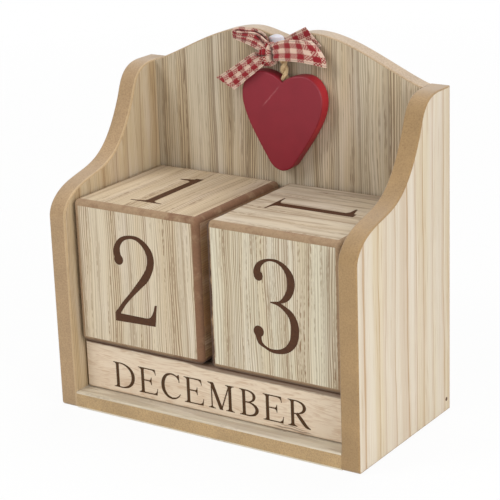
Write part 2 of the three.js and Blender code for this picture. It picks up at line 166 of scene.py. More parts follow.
def add(tree, kind, *values, stops=(), sockets=None, **settings):
    """Adds one node: first its own settings, then values for its open inputs in order, then inputs by name.
    A second word in its kind is its operation, or the type of what it mixes. A value may be a number, a
    colour, an output, or a node, which stands for its first open output."""
    kind, _, mode = kind.partition(" ")
    node = tree.nodes.new("ShaderNode" + kind)
    if mode:
        setattr(node, MODES[kind], mode)
    for name, value in settings.items():
        setattr(node, name, value)
    pairs = list(zip([socket for socket in node.inputs if socket.enabled], values))
    pairs += [(node.inputs[name], value) for name, value in (sockets or {}).items()]
    for socket, value in pairs:
        if isinstance(value, bpy.types.Node):
            value = next(output for output in value.outputs if output.enabled)
        if isinstance(value, bpy.types.NodeSocket):
            tree.links.new(value, socket)
        else:
            socket.default_value = value
    if stops:
        ramp = node.color_ramp.elements
        while len(ramp) < len(stops):
            ramp.new(0.5)
        for element, (place, value) in zip(ramp, stops):
            element.position = place
            element.color = value if hasattr(value, "__len__") else (value, value, value, 1)
    return node


def finish(recipe):
    """Turns a recipe, which fills a node tree and returns its shader, into what makes a named material."""
    def make(name, *values, **options):
        material = bpy.data.materials.new(name)
        material.use_nodes = True
        tree = material.node_tree
        tree.nodes.clear()
        add(tree, "OutputMaterial", recipe(tree, *values, **options))
        return material
    return make


def place_in_mm(tree, shift=(0, 0, 0), turn=(0, 0, 0)):
    """The place on the object in millimetres, turned so that the grain runs along Z, and shifted."""
    place = add(tree, "TexCoord").outputs["Object"]
    angles = tuple(math.radians(angle) for angle in turn)
    return add(tree, "Mapping", place, shift, angles, (1 / MM, 1 / MM, 1 / MM))


def grid_faces(rows, columns, close_columns=False):
    """Quads between neighbouring points of a grid that is stored row by row. The last column may be joined
    to the first."""
    steps = np.arange(rows - 1), np.arange(columns if close_columns else columns - 1)
    row, column = (part.ravel() for part in np.meshgrid(*steps, indexing="ij"))
    low, high, beside = row * columns, (row + 1) * columns, (column + 1) % columns
    return np.stack([low + column, low + beside, high + beside, high + column], 1)


def closed_tube(rings, sides):
    """Faces between rings of points, each joined to the next. The last two are flat caps at either end."""
    last = (rings - 1) * sides
    caps = [list(range(sides))[::-1], list(range(last, last + sides))]
    return grid_faces(rings, sides, close_columns=True).tolist() + caps


def joined(parts):
    """Several shapes as one: their points, faces and, where they have them, places on the cloth."""
    points, faces, *uv = zip(*parts)
    starts = np.cumsum([0, *map(len, points)]).tolist()
    faces = [[corner + start for corner in face] for start, group in zip(starts, faces) for face in group]
    return np.concatenate(points), faces, *map(np.concatenate, uv)


def new_mesh(name, points, faces):
    """A mesh of points in metres."""
    mesh = bpy.data.meshes.new(name)
    mesh.from_pydata(points.tolist(), [], faces)
    return mesh


def put_in_scene(name, data):
    """A new object in the scene that shows a mesh, a lamp or a camera."""
    thing = bpy.data.objects.new(name, data)
    bpy.context.scene.collection.objects.link(thing)
    return thing


def make_piece(name, points, faces, material, body, slot, replaced=(), uv=None, flat=(), rim=None):
    """Puts points in millimetres into a new mesh whose faces look outwards, and lets it ride on its body.
    Flat faces are shaded flat; where a rim material is given, it covers all the others."""
    mesh = new_mesh(name, points * MM, faces)
    if uv is not None:
        layer = mesh.uv_layers.new(name="weave")
        layer.data.foreach_set("uv", uv.astype(np.float32)[np.concatenate(faces)].ravel())
    smooth = np.ones(len(faces), bool)
    smooth[list(flat)] = False
    mesh.polygons.foreach_set("use_smooth", smooth)
    if rim:
        mesh.polygons.foreach_set("material_index", smooth.astype(np.int32))
    work = bmesh.new()
    work.from_mesh(mesh)
    bmesh.ops.remove_doubles(work, verts=work.verts, dist=WELD)
    bmesh.ops.dissolve_degenerate(work, edges=work.edges, dist=WELD)
    if work.calc_volume(signed=True) < 0:
        bmesh.ops.reverse_faces(work, faces=work.faces)
    work.to_mesh(mesh)
    work.free()
    mesh.set_sharp_from_angle(angle=SMOOTH_ANGLE)
    for coat in filter(None, (material, rim)):
        mesh.materials.append(coat)
    piece = put_in_scene(name, mesh)
    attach(piece, body)
    if replaced:
        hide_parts(*replaced)
    return piece


def finish_node(name, material):
    """Gives a node of the frame its material."""
    nodes[name].data.materials.clear()
    nodes[name].data.materials.append(material)


def node_span(name):
    """The lowest and highest corner of a node in millimetres."""
    low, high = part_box(name)
    return np.array(low) / MM, np.array(high) / MM


# Curves

def unit(vectors):
    """Vectors in the same directions, each one long."""
    return vectors / np.maximum(np.linalg.norm(vectors, axis=-1, keepdims=True), 1e-9)


def full_turn(sides):
    """Angles evenly round a circle."""
    return np.linspace(0, 2 * math.pi, sides, endpoint=False)


def tilted(across, up, angle):
    """Two coordinates or directions turned by an angle, from the first towards the second."""
    return across * math.cos(angle) - up * math.sin(angle), across * math.sin(angle) + up * math.cos(angle)


def run_along(path):
    """How far along a path each of its points is."""
    return np.concatenate([[0], np.cumsum(np.linalg.norm(np.diff(path, axis=0), axis=1))])


def sweep(start, start_slope, end, end_slope, shares, steps=36):
    """Points of a cubic that leaves its start and enters its end at given slopes, held for shares of the
    span."""
    start, end = np.array(start, float), np.array(end, float)
    span = np.linalg.norm(end - start)
    leave, enter = np.radians(start_slope), np.radians(end_slope)
    first = start + span * shares[0] * np.array([np.cos(leave), np.sin(leave)])
    second = end - span * shares[1] * np.array([np.cos(enter), np.sin(enter)])
    t = np.linspace(0, 1, steps, endpoint=False)[:, None]
    return (1 - t) ** 3 * start + 3 * (1 - t) ** 2 * t * first + 3 * (1 - t) * t**2 * second + t**3 * end


def run(start, end, steps):
    """Points evenly along a straight line, without its end."""
    t = np.linspace(0, 1, steps, endpoint=False)[:, None]
    return np.array(start, float) * (1 - t) + np.array(end, float) * t


def through(rows, count):
    """Points on a smooth curve through the rows: on each stretch a cubic whose slopes are half the chord
    between the rows on either side."""
    rows = np.asarray(rows, float)
    padded = np.concatenate([2 * rows[:1] - rows[1:2], rows, 2 * rows[-1:] - rows[-2:-1]])
    place = np.linspace(0, len(rows) - 1, count)
    at = np.minimum(place.astype(int), len(rows) - 2)
    t = (place - at)[:, None]
    before, start, end, after = (padded[at + step] for step in range(4))
    slope_in, slope_out = (end - before) / 2, (after - start) / 2
    return (
        (2 * t**3 - 3 * t**2 + 1) * start
        + (t**3 - 2 * t**2 + t) * slope_in
        + (3 * t**2 - 2 * t**3) * end
        + (t**3 - t**2) * slope_out
    )


def inward(outline):
    """At each point of a closed outline that runs anticlockwise, the step inwards that moves both of its
    edges by one."""
    ahead = unit(np.roll(outline, -1, 0) - outline)
    left = np.stack([-ahead[:, 1], ahead[:, 0]], 1)
    before = np.roll(left, 1, 0)
    share = 1 + (left * before).sum(1, keepdims=True)
    return (left + before) / np.maximum(share, 0.3)


def layer_skin(outline, low, high, low_radii, high_radii, steps=5):
    """A layer of board: the outline carried from low to high, drawn in by a quarter circle at either rim.
    Its last two faces are the flat ones, and are returned by number."""
    step_in = inward(outline)
    turns = np.linspace(0, math.pi / 2, steps)
    quarters = [(turn, low, low_radii) for turn in turns]
    quarters += [(turn, high, -high_radii) for turn in turns[::-1]]
    rings = []
    for turn, end, radii in quarters:
        inset = (np.abs(radii) * (1 - math.sin(turn)))[:, None]
        rings.append(np.column_stack([outline + step_in * inset, end + radii * (1 - math.cos(turn))]))
    faces = closed_tube(len(rings), len(outline))
    return np.concatenate(rings), faces, (len(faces) - 2, len(faces) - 1)


# Materials

# how the grain is turned, in degrees: upright on faces that run across X or Y, front to back, or sideways
GRAIN_UP_ACROSS_X = (0, 0, 0)
GRAIN_UP_ACROSS_Y = (0, 0, -90)
GRAIN_DEEP = (90, 0, 0)
GRAIN_WIDE = (0, -90, 0)
# how wide the brown arrises of the bars are, in millimetres
BAR_ARRIS = 0.9
# dark streaks on the front bar: start, end and half width in millimetres
BAR_STREAKS = (
    ((30, -31.2, 9.6), (50, -31.2, 8.9), 0.45),
    ((33, -31.2, 10.8), (46, -31.2, 9.9), 0.3),
)
# a wave texture of scale one repeats this often
WAVE_PERIOD = 0.314
# colours that only one finish uses
LIME_WASH = linear("#e4d9d0")
# painted shade for the creases at the knot
CREASE_SHADE = linear("#3d1c14")
SCRATCH = linear("#c98a8c")
GLUE_LIGHT = linear("#e6e5ea")
FILLER = linear("#6f5540")
FILLER_DUST = linear("#4f3b2c")


def wavering_grain(tree, place, slow_stretch, scale, roughness, sway, stretch):
    """The place swayed sideways by a slow noise, and then drawn out along the grain. Returns the place drawn
    out for the slow noise, the swayed one, and the swayed one drawn out."""
    slow = add(tree, "VectorMath MULTIPLY", place, (1, 1, slow_stretch))
    wander = add(tree, "TexNoise", slow, scale, 3.0, roughness)
    sideways = add(tree, "Math MULTIPLY_ADD", wander, sway, -sway / 2)
    swayed = add(tree, "VectorMath ADD", place, add(tree, "CombineXYZ", sideways))
    return slow, swayed, add(tree, "VectorMath MULTIPLY", swayed, (1, 1, stretch))


def coated(tree, base, coat, pattern, *stops):
    """The base under a coat of another colour, which is as dense as a ramp of the pattern says."""
    share = add(tree, "ValToRGB", pattern, stops=stops)
    return add(tree, "Mix RGBA", share, base, coat)


def mottled(tree, base, pattern, dark, light, low=0.3, high=0.7):
    """The base made darker where a pattern is low and lighter where it is high."""
    shade = add(tree, "ValToRGB", pattern, stops=((low, dark), (high, light)))
    return add(tree, "Mix RGBA", 1.0, base, shade, blend_type="MULTIPLY")


@finish
def limed_veneer(tree, pale, streak, pore, shift, turn, band=8.0, figure=0.4, lines=0.7, pores=0.8,
                 spacing=1.05, dash=3.0, year=13.0, fine=0.7):
    """Sliced softwood veneer, sanded and limed: pale and matt, in soft bands of creamier and browner wood,
    with fine straight rows of open pores, each a chain of short brown dashes, and sparse thin growth lines.
    Band, spacing, dash and year are millimetres: how wide the bands are, how far apart the rows of pores,
    how long a dash, and how far apart the growth lines; fine is the depth of the even rows. Real pores are
    0.2 mm across; they are drawn about 0.5 mm across, so that they show."""
    place = place_in_mm(tree, shift, turn)
    slow, swayed, along = wavering_grain(tree, place, 0.15, 0.07, 0.55, 6.0, 0.015)
    bands = add(tree, "TexNoise", along, 1 / band, 2.0, 0.6)
    tone = add(tree, "ValToRGB", bands, stops=((0.42, 0.0), (0.6, 1.0)))
    # rows of pores: heavy ones broken into dashes, and even hair-fine ones between them
    drawn = add(tree, "VectorMath MULTIPLY", swayed, (1, 1, spacing / dash))
    dashes = add(tree, "TexNoise", drawn, 1.2 / spacing, 1.0, 0.5)
    broken = add(tree, "ValToRGB", dashes, stops=((0.4, 0.25), (0.58, 1.0)))
    rows = add(tree, "TexNoise", along, 1.3 / spacing, 2.0, 0.7)
    heavy = add(tree, "ValToRGB", rows, stops=((0.53, 0.0), (0.64, 1.0)))
    heavy = add(tree, "Math MULTIPLY", heavy, broken)
    ripple = add(tree, "TexWave", along, WAVE_PERIOD / spacing, 3.0, 1.0, 0.6, bands_direction="X")
    hair = add(tree, "ValToRGB", ripple, stops=((0.35, 0.0), (0.75, 1.0)))
    patchy = add(tree, "TexNoise", along, 0.3 / spacing, 2.0, 0.6)
    patchy = add(tree, "ValToRGB", patchy, stops=((0.4, 0.3 * fine), (0.58, fine)))
    hair = add(tree, "Math MULTIPLY", hair, patchy)
    open_pores = add(tree, "Math MAXIMUM", heavy, hair)
    # growth lines
    wave = add(tree, "TexWave", along, WAVE_PERIOD / year, 6.0, 1.0, 2.0,
               wave_type="BANDS", bands_direction="X", wave_profile="SAW")
    growth = add(tree, "ValToRGB", wave, stops=((0.5, 0.0), (0.89, 0.3), (0.95, 1.0), (1.0, 0.0)))
    # colours, from the bands up to the lines
    share = add(tree, "Math MULTIPLY", tone, figure)
    base = add(tree, "Mix RGBA", share, pale, streak)
    wash = add(tree, "TexNoise", slow, 0.12, 2.0)
    base = coated(tree, base, LIME_WASH, wash, (0.48, 0.0), (0.72, 0.25))
    depth = add(tree, "Math MULTIPLY_ADD", tone, 0.45 * pores, 0.55 * pores)
    share = add(tree, "Math MULTIPLY", open_pores, depth)
    base = add(tree, "Mix RGBA", share, base, pore)
    share = add(tree, "Math MULTIPLY", growth, lines)
    base = add(tree, "Mix RGBA", share, base, pore)
    rough = add(tree, "Math MULTIPLY_ADD", open_pores, 0.15, 0.62)
    bump = add(tree, "Bump", invert=True,
               sockets={"Height": open_pores, "Distance": 0.12 * MM, "Strength": 0.6})
    return add(tree, "BsdfPrincipled", sockets={
        "Base Color": base, "Roughness": rough, "Specular IOR Level": 0.35, "Sheen Weight": 0.12,
        "Normal": bump})


@finish
def fibreboard(tree, light, dark):
    """Medium-density fibreboard, sawn and sanded: tan, quite matt, with a fine fleck of short fibres and
    softer clouds where it was sanded harder."""
    place = place_in_mm(tree)
    fleck = add(tree, "TexNoise", place, 1.4, 4.0, 0.65)
    clouds = add(tree, "TexNoise", place, 0.09, 3.0, 0.5)
    base = coated(tree, light, dark, fleck, (0.42, 0.0), (0.72, 0.75))
    base = mottled(tree, base, clouds, 0.9, 1.07)
    bump = add(tree, "Bump", sockets={"Height": fleck, "Distance": 0.12 * MM, "Strength": 0.5})
    return add(tree, "BsdfPrincipled", sockets={
        "Base Color": base, "Roughness": 0.85, "Specular IOR Level": 0.3, "Sheen Weight": 0.5,
        "Sheen Roughness": 0.5, "Normal": bump})


@finish
def sanded_edge(tree, light, patch, burn_and_shade, gap_shade_from, gap_shade_to, foot, foot_shade):
    """Raw wood where a cube's arrises were sanded through: brown, with soft darker burnished patches, and
    painted shade towards the gap between the cubes and along the foot, where the cube sits on the bar. The
    shade by the gap sets in between two places across, in millimetres."""
    place = place_in_mm(tree)
    clouds = add(tree, "TexNoise", place, 0.15, 3.0, 0.6)
    fibres = add(tree, "TexNoise", place, 1.1, 3.0, 0.6)
    base = coated(tree, light, patch, clouds, (0.5, 0.0), (0.75, 0.7))
    parts = add(tree, "SeparateXYZ", place).outputs
    # painted shade: darker towards the gap between the cubes, broken up by the clouds
    side = add(tree, "MapRange", parts[0], gap_shade_from, gap_shade_to, 0.0, 0.55)
    side = add(tree, "Math ADD", clouds, side)
    base = coated(tree, base, burn_and_shade, side, (0.75, 0.0), (1.0, 0.95))
    # painted shade along the foot, where the cube sits on the bar
    share = add(tree, "MapRange", parts[2], foot + 2.6, foot + 0.7, 0.0, 0.9)
    base = add(tree, "Mix RGBA", share, base, foot_shade)
    base = mottled(tree, base, fibres, 0.88, 1.1)
    bump = add(tree, "Bump", sockets={"Height": fibres, "Distance": 0.1 * MM, "Strength": 0.4})
    return add(tree, "BsdfPrincipled", sockets={
        "Base Color": base, "Roughness": 0.72, "Specular IOR Level": 0.25, "Sheen Weight": 0.08,
        "Normal": bump})


def drawn_line(tree, place, start, end, half_width, waver=0.8):
    """A mask for a thin, slightly wavering line between two points in an upright plane that faces the front:
    one on the line, and none past its half width or past its ends. All sizes are millimetres."""
    start, end = Vector(start), Vector(end)
    lean = math.atan2((end - start).x, (end - start).z)
    local = add(tree, "Mapping", place, tuple((start + end) / 2), (0, lean, 0), vector_type="TEXTURE")
    parts = add(tree, "SeparateXYZ", local).outputs
    noise = add(tree, "TexNoise", place, 0.25)
    off_line = add(tree, "Math MULTIPLY_ADD", noise, waver, parts[0])
    off_line = add(tree, "Math SUBTRACT", off_line, waver / 2)
    off_line = add(tree, "Math ABSOLUTE", off_line)
    across = add(tree, "MapRange", off_line, 0.0, half_width, 1.0, 0.0)
    off_end = add(tree, "Math ABSOLUTE", parts[2])
    half = (end - start).length / 2
    within = add(tree, "MapRange", off_end, half * 0.6, half, 1.0, 0.0)
    off_plane = add(tree, "Math ABSOLUTE", parts[1])
    near = add(tree, "Math LESS_THAN", off_plane, 2.0)
    mask = add(tree, "Math MULTIPLY", across, within)
    return add(tree, "Math MULTIPLY", mask, near)


@finish
def planed_wood(tree, pale, deep, burn_and_shade, shift, low, high, streaks=()):
    """Planed softwood of the month bars: pinkish and matt, with short wavy hair lines and a few soft bands
    along the bar. Its long arrises are brown from the saw, and the upper ones darker still, as painted shade
    under the cubes; a band of painted shade runs along the top, widening towards the right, and
    short dark streaks run past a small knot.
    The hair lines are drawn 0.5 mm apart, twice as coarse as real, so that they show."""
    plain = place_in_mm(tree)
    place = place_in_mm(tree, shift, GRAIN_WIDE)
    along = wavering_grain(tree, place, 0.12, 0.16, 0.6, 12.0, 0.06)[-1]
    lines = add(tree, "TexNoise", along, 1.7, 2.0, 0.6)
    bands = add(tree, "TexNoise", along, 0.14, 2.0, 0.5)
    base = coated(tree, pale, deep, lines, (0.48, 0.0), (0.64, 0.45))
    base = coated(tree, base, deep, bands, (0.55, 0.0), (0.8, 0.35))
    for start, end, half_width in streaks:
        share = drawn_line(tree, plain, start, end, half_width, 1.4)
        share = add(tree, "Math MULTIPLY", share, 0.85)
        base = add(tree, "Mix RGBA", share, base, burn_and_shade)
    # arrises: near the edge in depth and in height at once; brown from the saw, and darker on the upper ones
    # as painted shade under the cubes
    middle, half = (low + high) / 2, (high - low) / 2
    off = add(tree, "VectorMath SUBTRACT", plain, tuple(middle.tolist()))
    off = add(tree, "VectorMath ABSOLUTE", off)
    off = add(tree, "VectorMath SUBTRACT", off, tuple((half - BAR_ARRIS).tolist()))
    parts = add(tree, "SeparateXYZ", off).outputs
    corner = add(tree, "Math MINIMUM", parts[1], parts[2])
    share = add(tree, "MapRange", corner, -0.05, 0.4, 0.0, 0.9)
    foot, top = float(low[2]), float(high[2])
    parts = add(tree, "SeparateXYZ", plain).outputs
    upper = add(tree, "MapRange", parts[2], foot + 2, top - 2, 0.25, 1.0)
    share = add(tree, "Math MULTIPLY", share, upper)
    base = add(tree, "Mix RGBA", share, base, burn_and_shade)
    # painted shade: a band along the top, under the cubes, which widens to the right and ends in the hair
    # lines
    reach = add(tree, "MapRange", parts[0], -14.0, -2.0, 0.4, 1.7)
    reach = add(tree, "Math MULTIPLY_ADD", lines, 1.2, reach)
    down = add(tree, "Math SUBTRACT", top, parts[2])
    past = add(tree, "Math SUBTRACT", down, reach)
    share = add(tree, "MapRange", past, 0.3, -0.4, 0.0, 0.76)
    base = add(tree, "Mix RGBA", share, base, burn_and_shade)
    bump = add(tree, "Bump", sockets={"Height": lines, "Distance": 0.08 * MM, "Strength": 0.5})
    return add(tree, "BsdfPrincipled", sockets={
        "Base Color": base, "Roughness": 0.62, "Specular IOR Level": 0.4, "Normal": bump})


@finish
def printed_ink(tree, ink):
    """Dark brown print on the wood: matt, and a little uneven, as ink on open grain is."""
    cloud = add(tree, "TexNoise", place_in_mm(tree), 0.8, 3.0, 0.6)
    base = mottled(tree, ink, cloud, 0.82, 1.2)
    return add(tree, "BsdfPrincipled", sockets={
        "Base Color": base, "Roughness": 0.6, "Specular IOR Level": 0.3})


@finish
def satin_paint(tree, paint, thick, front, scratch_start, scratch_end):
    """Satin acrylic paint on wood: an even red with a soft sheen, brush marks too fine to see singly, and
    one pale scratch between two points. Behind the front's arris, the right-hand rim is painted a brighter
    red: a painted highlight where the light falls on it."""
    place = place_in_mm(tree)
    cloud = add(tree, "TexNoise", place, 0.12, 3.0, 0.5)
    grain = add(tree, "TexNoise", place, 2.0, 3.0, 0.6)
    parts = add(tree, "SeparateXYZ", place).outputs
    # painted highlight: a brighter red on the right-hand rim, behind the front's arris
    behind = add(tree, "MapRange", parts[1], front + 0.2, front + 0.9)
    right = add(tree, "MapRange", parts[0], 11.0, 20.0)
    share = add(tree, "Math MULTIPLY", behind, right)
    base = add(tree, "Mix RGBA", share, paint, thick)
    base = mottled(tree, base, cloud, 0.93, 1.06)
    worn = add(tree, "TexNoise", place, 0.7, 2.0)
    worn = add(tree, "ValToRGB", worn, stops=((0.3, 0.15), (0.65, 1.0)))
    mark = drawn_line(tree, place, scratch_start, scratch_end, 0.42)
    mark = add(tree, "Math MULTIPLY", mark, worn)
    share = add(tree, "Math MULTIPLY", mark, 0.35)
    base = add(tree, "Mix RGBA", share, base, SCRATCH)
    rough = add(tree, "Math MULTIPLY_ADD", mark, 0.2, 0.5)
    bump = add(tree, "Bump", sockets={"Height": grain, "Distance": 0.04 * MM, "Strength": 0.4})
    return add(tree, "BsdfPrincipled", sockets={
        "Base Color": base, "Roughness": rough, "Normal": bump})


@finish
def jute(tree, light, dark):
    """Jute yarn: pale brown and quite matt, with fine fibres that wind along each ply."""
    place = add(tree, "UVMap", uv_map="weave")
    drawn = add(tree, "VectorMath MULTIPLY", place, (1, 0.18, 1))
    fibres = add(tree, "TexNoise", drawn, 3.5, 3.0, 0.65)
    base = coated(tree, light, dark, fibres, (0.38, 0.0), (0.72, 0.9))
    bump = add(tree, "Bump", sockets={"Height": fibres, "Distance": 0.25 * MM, "Strength": 0.8})
    return add(tree, "BsdfPrincipled", sockets={
        "Base Color": base, "Roughness": 0.9, "Specular IOR Level": 0.2, "Normal": bump})


@finish
def woven_check(tree, red, cream, half_width, crease_shadows):
    """Woven cotton check. The stripes across are red, cream, red between cream borders; those along
    repeat every 6 mm. Where both yarns are red it is full red, and where one is, the two show as a fine
    chequer. Its UV map holds millimetres across and along. The chequer is drawn 1.2 mm apart, four times as
    coarse as real, so that it shows. Along the creases at the knot, dark lines are painted shade between the
    folds."""
    place = add(tree, "UVMap", uv_map="weave")
    parts = add(tree, "SeparateXYZ", place).outputs
    waver = add(tree, "TexNoise", place, 1.6)
    ragged = add(tree, "Math MULTIPLY_ADD", waver, 0.5, -0.25)
    across = add(tree, "Math ADD", parts[0], ragged)
    across = add(tree, "Math ABSOLUTE", across)
    across = add(tree, "Math DIVIDE", across, half_width)
    warp = add(tree, "ValToRGB", across, stops=((0.19, 0.0), (0.24, 1.0), (0.68, 1.0), (0.73, 0.0)))
    selvedge = add(tree, "ValToRGB", across, stops=((0.8, 1.0), (0.86, 0.55), (0.9, 0.9), (1.0, 1.1)))
    along = add(tree, "Math ADD", parts[1], ragged)
    along = add(tree, "Math DIVIDE", along, 6.0)
    along = add(tree, "Math FRACT", along)
    weft = add(tree, "ValToRGB", along, stops=((0.0, 0.0), (0.03, 1.0), (0.47, 1.0), (0.5, 0.0)))
    chequer = add(tree, "TexChecker", place, (1, 1, 1, 1), (0.25, 0.25, 0.25, 1), 1.7)
    both = add(tree, "Math MULTIPLY", warp, weft)
    either = add(tree, "Math MAXIMUM", warp, weft)
    one = add(tree, "Math SUBTRACT", either, both)
    share = add(tree, "Math MULTIPLY_ADD", one, chequer, both)
    base = add(tree, "Mix RGBA", share, cream, red)
    threads = add(tree, "TexWave", place, 0.75, 0.6, bands_direction="DIAGONAL")
    base = mottled(tree, base, threads, 0.86, 1.06, 0.0, 1.0)
    base = add(tree, "Mix RGBA", 1.0, base, selvedge, blend_type="MULTIPLY")
    plain = place_in_mm(tree)
    # painted shade along the creases between the folds at the knot
    for start, end, half in crease_shadows:
        share = drawn_line(tree, plain, start, end, half, 0.5)
        base = add(tree, "Mix RGBA", share, base, CREASE_SHADE)
    bump = add(tree, "Bump", sockets={"Height": threads, "Distance": 0.12 * MM, "Strength": 0.6})
    return add(tree, "BsdfPrincipled", sockets={
        "Base Color": base, "Roughness": 0.85, "Specular IOR Level": 0.25, "Sheen Weight": 0.3,
        "Normal": bump})


@finish
def set_glue(tree, tint):
    """Set hot glue: milky and smooth, with rounded lumps that let some light through."""
    lumps = add(tree, "TexNoise", place_in_mm(tree), 0.5, 2.0)
    base = add(tree, "Mix RGBA", lumps, tint, GLUE_LIGHT)
    bump = add(tree, "Bump", sockets={"Height": lumps, "Distance": 0.3 * MM, "Strength": 0.5})
    return add(tree, "BsdfPrincipled", sockets={
        "Base Color": base, "Roughness": 0.3, "IOR": 1.45, "Subsurface Weight": 0.15,
        "Subsurface Scale": 2 * MM, "Normal": bump})


@finish
def filled_hole(tree):
    """Wood filler over a sunk brad: a dull brown spot, clouded with the dust that has settled in it."""
    cloud = add(tree, "TexNoise", place_in_mm(tree), 2.0, 3.0, 0.6)
    base = add(tree, "Mix RGBA", cloud, FILLER, FILLER_DUST)
    return add(tree, "BsdfPrincipled", sockets={
        "Base Color": base, "Roughness": 0.8, "Specular IOR Level": 0.3})


# Boards

def place_of_boards():
    """The main sizes of the box, read off the frame, in millimetres."""
    side_low, side_high = node_span("left_side_outer_veneer")
    core_high = node_span("back_panel_core")[1]
    return {
        "front": side_low[1],
        "rear": side_high[1],
        "left": side_low[0],
        "right": -side_low[0],
        "side_top": side_high[2],
        "veneer": side_high[0] - side_low[0],
        "panel_face": node_span("back_panel_front_veneer")[0][1],
        "panel_edge": core_high[0],
        "arch_top": core_high[2],
        "base_top": node_span("base_top_veneer")[1][2],
    }


def side_outline(size, foot):
    """The side's outline across and up: upright front, round shoulder, hollow neck, round top."""
    depth, top = size["rear"] - size["front"], size["side_top"]
    start = (0, top - 55.5)
    shoulder = (12.1, top - 43)
    neck = (51, top - 14.2)
    crest = (depth - 9, top)
    turn = np.linspace(0, math.pi / 2, 6, endpoint=False)[:, None]
    corner = np.hstack([foot * (1 - np.cos(turn)), foot * (1 - np.sin(turn))])
    return np.concatenate([
        corner,
        run((foot, 0), (depth, 0), 20),
        run((depth, 0), (depth, top), 30),
        run((depth, top), crest, 3),
        sweep(crest, 180, neck, 245.4, (0.62, 0.25)),
        sweep(neck, 245.4, shoulder, 198.5, (0.63, 0.32)),
        sweep(shoulder, 198.5, start, 270, (0.26, 0.41)),
        run(start, (0, size["base_top"]), 24),
        run((0, size["base_top"]), (0, foot), 6),
    ])


def back_outline(size):
    """The back's outline across and up: straight sides, and two humps with a dip between them. With it come
    how far aside its sides stand and how high they end."""
    edge, top = size["panel_edge"], size["arch_top"]
    end, dip, hump = size["side_top"] - 0.2, top - 3.3, 15
    return np.concatenate([
        run((-edge, 0), (edge, 0), 20),
        run((edge, 0), (edge, end), 20),
        sweep((edge, end), 160.7, (hump, top), 180, (0.31, 0.31)),
        sweep((hump, top), 180, (0, dip), 193.5, (0.32, 0.32), 20),
        sweep((0, dip), 166.5, (-hump, top), 180, (0.32, 0.32), 20),
        sweep((-hump, top), 180, (-edge, end), 199.3, (0.31, 0.31)),
        run((-edge, end), (-edge, 0), 20),
    ]), edge, end


def build_layers(name, layers, outline, thick, veneer, first_radii, last_radii, origin, axes):
    """A board of a core between two veneers: its outline carried through each layer's share of the
    thickness, and rounded at its first and last rims only. Layers holds each one's name, material and rim;
    axes turns across, up and deep into the object's frame."""
    none = np.zeros(len(outline))
    marks = (0, veneer, thick - veneer, thick)
    radii = ((first_radii, none), (none, none), (none, last_radii))
    for (part, material, rim), low, high, layer_radii in zip(layers, marks, marks[1:], radii):
        points, faces, flat = layer_skin(outline, low, high, *layer_radii)
        node = f"{name}_{part}"
        make_piece(node + "_skin", points @ np.array(axes) + origin, faces, material, "box",
                   "board" if part == "core" else "veneer", (node,), flat=flat, rim=rim)


def build_sides(settings, materials):
    """Both side boards. The inner rim stays square beside the base and back."""
    size = place_of_boards()
    foot, arris, veneer = settings.foot / MM, settings.arris / MM, size["veneer"]
    outline = side_outline(size, foot)
    outer = np.full(len(outline), arris)
    beside = (outline[:, 1] <= size["base_top"]) | (outline[:, 0] >= size["panel_face"] - size["front"])
    inner = np.where(beside, 0, arris)
    for hand, sign, board, rim in (("left", 1, "board", "rim"), ("right", -1, "right_board", "right_board")):
        core_low, core_high = node_span(hand + "_side_core")
        layers = (
            ("outer_veneer", materials["outer"], materials[board]),
            ("core", materials[board], materials[board]),
            ("inner_veneer", materials["inner"], materials[rim]),
        )
        build_layers(hand + "_side", layers, outline, 2 * veneer + (core_high - core_low)[0], veneer,
                     outer, inner, (size[hand], size["front"], 0), ((0, 1, 0), (0, 0, 1), (sign, 0, 0)))


def build_back(settings, materials):
    """The back with its two humps, sanded along its arched top only."""
    size = place_of_boards()
    outline, edge, end = back_outline(size)
    arched = (outline[:, 1] >= end - 0.01) & (np.abs(outline[:, 0]) < edge - 0.01)
    rounded = np.where(arched, settings.arris / MM, 0)
    board = materials["back_board"]
    layers = (
        ("front_veneer", materials["panel"], board),
        ("core", board, board),
        ("rear_veneer", materials["rear"], board),
    )
    build_layers("back_panel", layers, outline, size["rear"] - size["panel_face"], size["veneer"],
                 rounded, rounded, (0, size["panel_face"], 0), ((1, 0, 0), (0, 0, 1), (0, 1, 0)))


def build_filled_hole(material):
    """The spot on the right side where a brad was sunk and filled: a low dome, flat underneath. It rises
    by its height times the root of one less the square of the share of its radius."""
    wall = node_span("right_side_outer_veneer")[1][0]
    deep, up, radius, height, sunk, sides = 35.1, 5.4, 0.9, 0.1, 0.3, 24
    turn = full_turn(sides)[None, :]
    out = np.array([radius, 0.85, 0.7, 0.45, 0.2])[:, None]
    high = height * np.sqrt(np.maximum(1 - (out / radius) ** 2, 0)) * np.ones_like(turn)
    dome = np.stack([wall + high, deep + out * np.cos(turn), up + out * np.sin(turn)], -1)
    points = np.concatenate([dome[:1] - [sunk, 0, 0], dome])
    make_piece("filled_brad_hole", points.reshape(-1, 3), closed_tube(len(points), sides), material, "box",
               "board")


# Cubes

# how a cube's top is turned to each of its six sides
CUBE_TURNS = (
    ((1, 0, 0), (0, 1, 0), (0, 0, 1)),
    ((1, 0, 0), (0, -1, 0), (0, 0, -1)),
    ((0, 0, 1), (1, 0, 0), (0, 1, 0)),
    ((0, 0, -1), (-1, 0, 0), (0, 1, 0)),
    ((0, 1, 0), (0, 0, 1), (1, 0, 0)),
    ((0, -1, 0), (0, 0, -1), (1, 0, 0)),
)


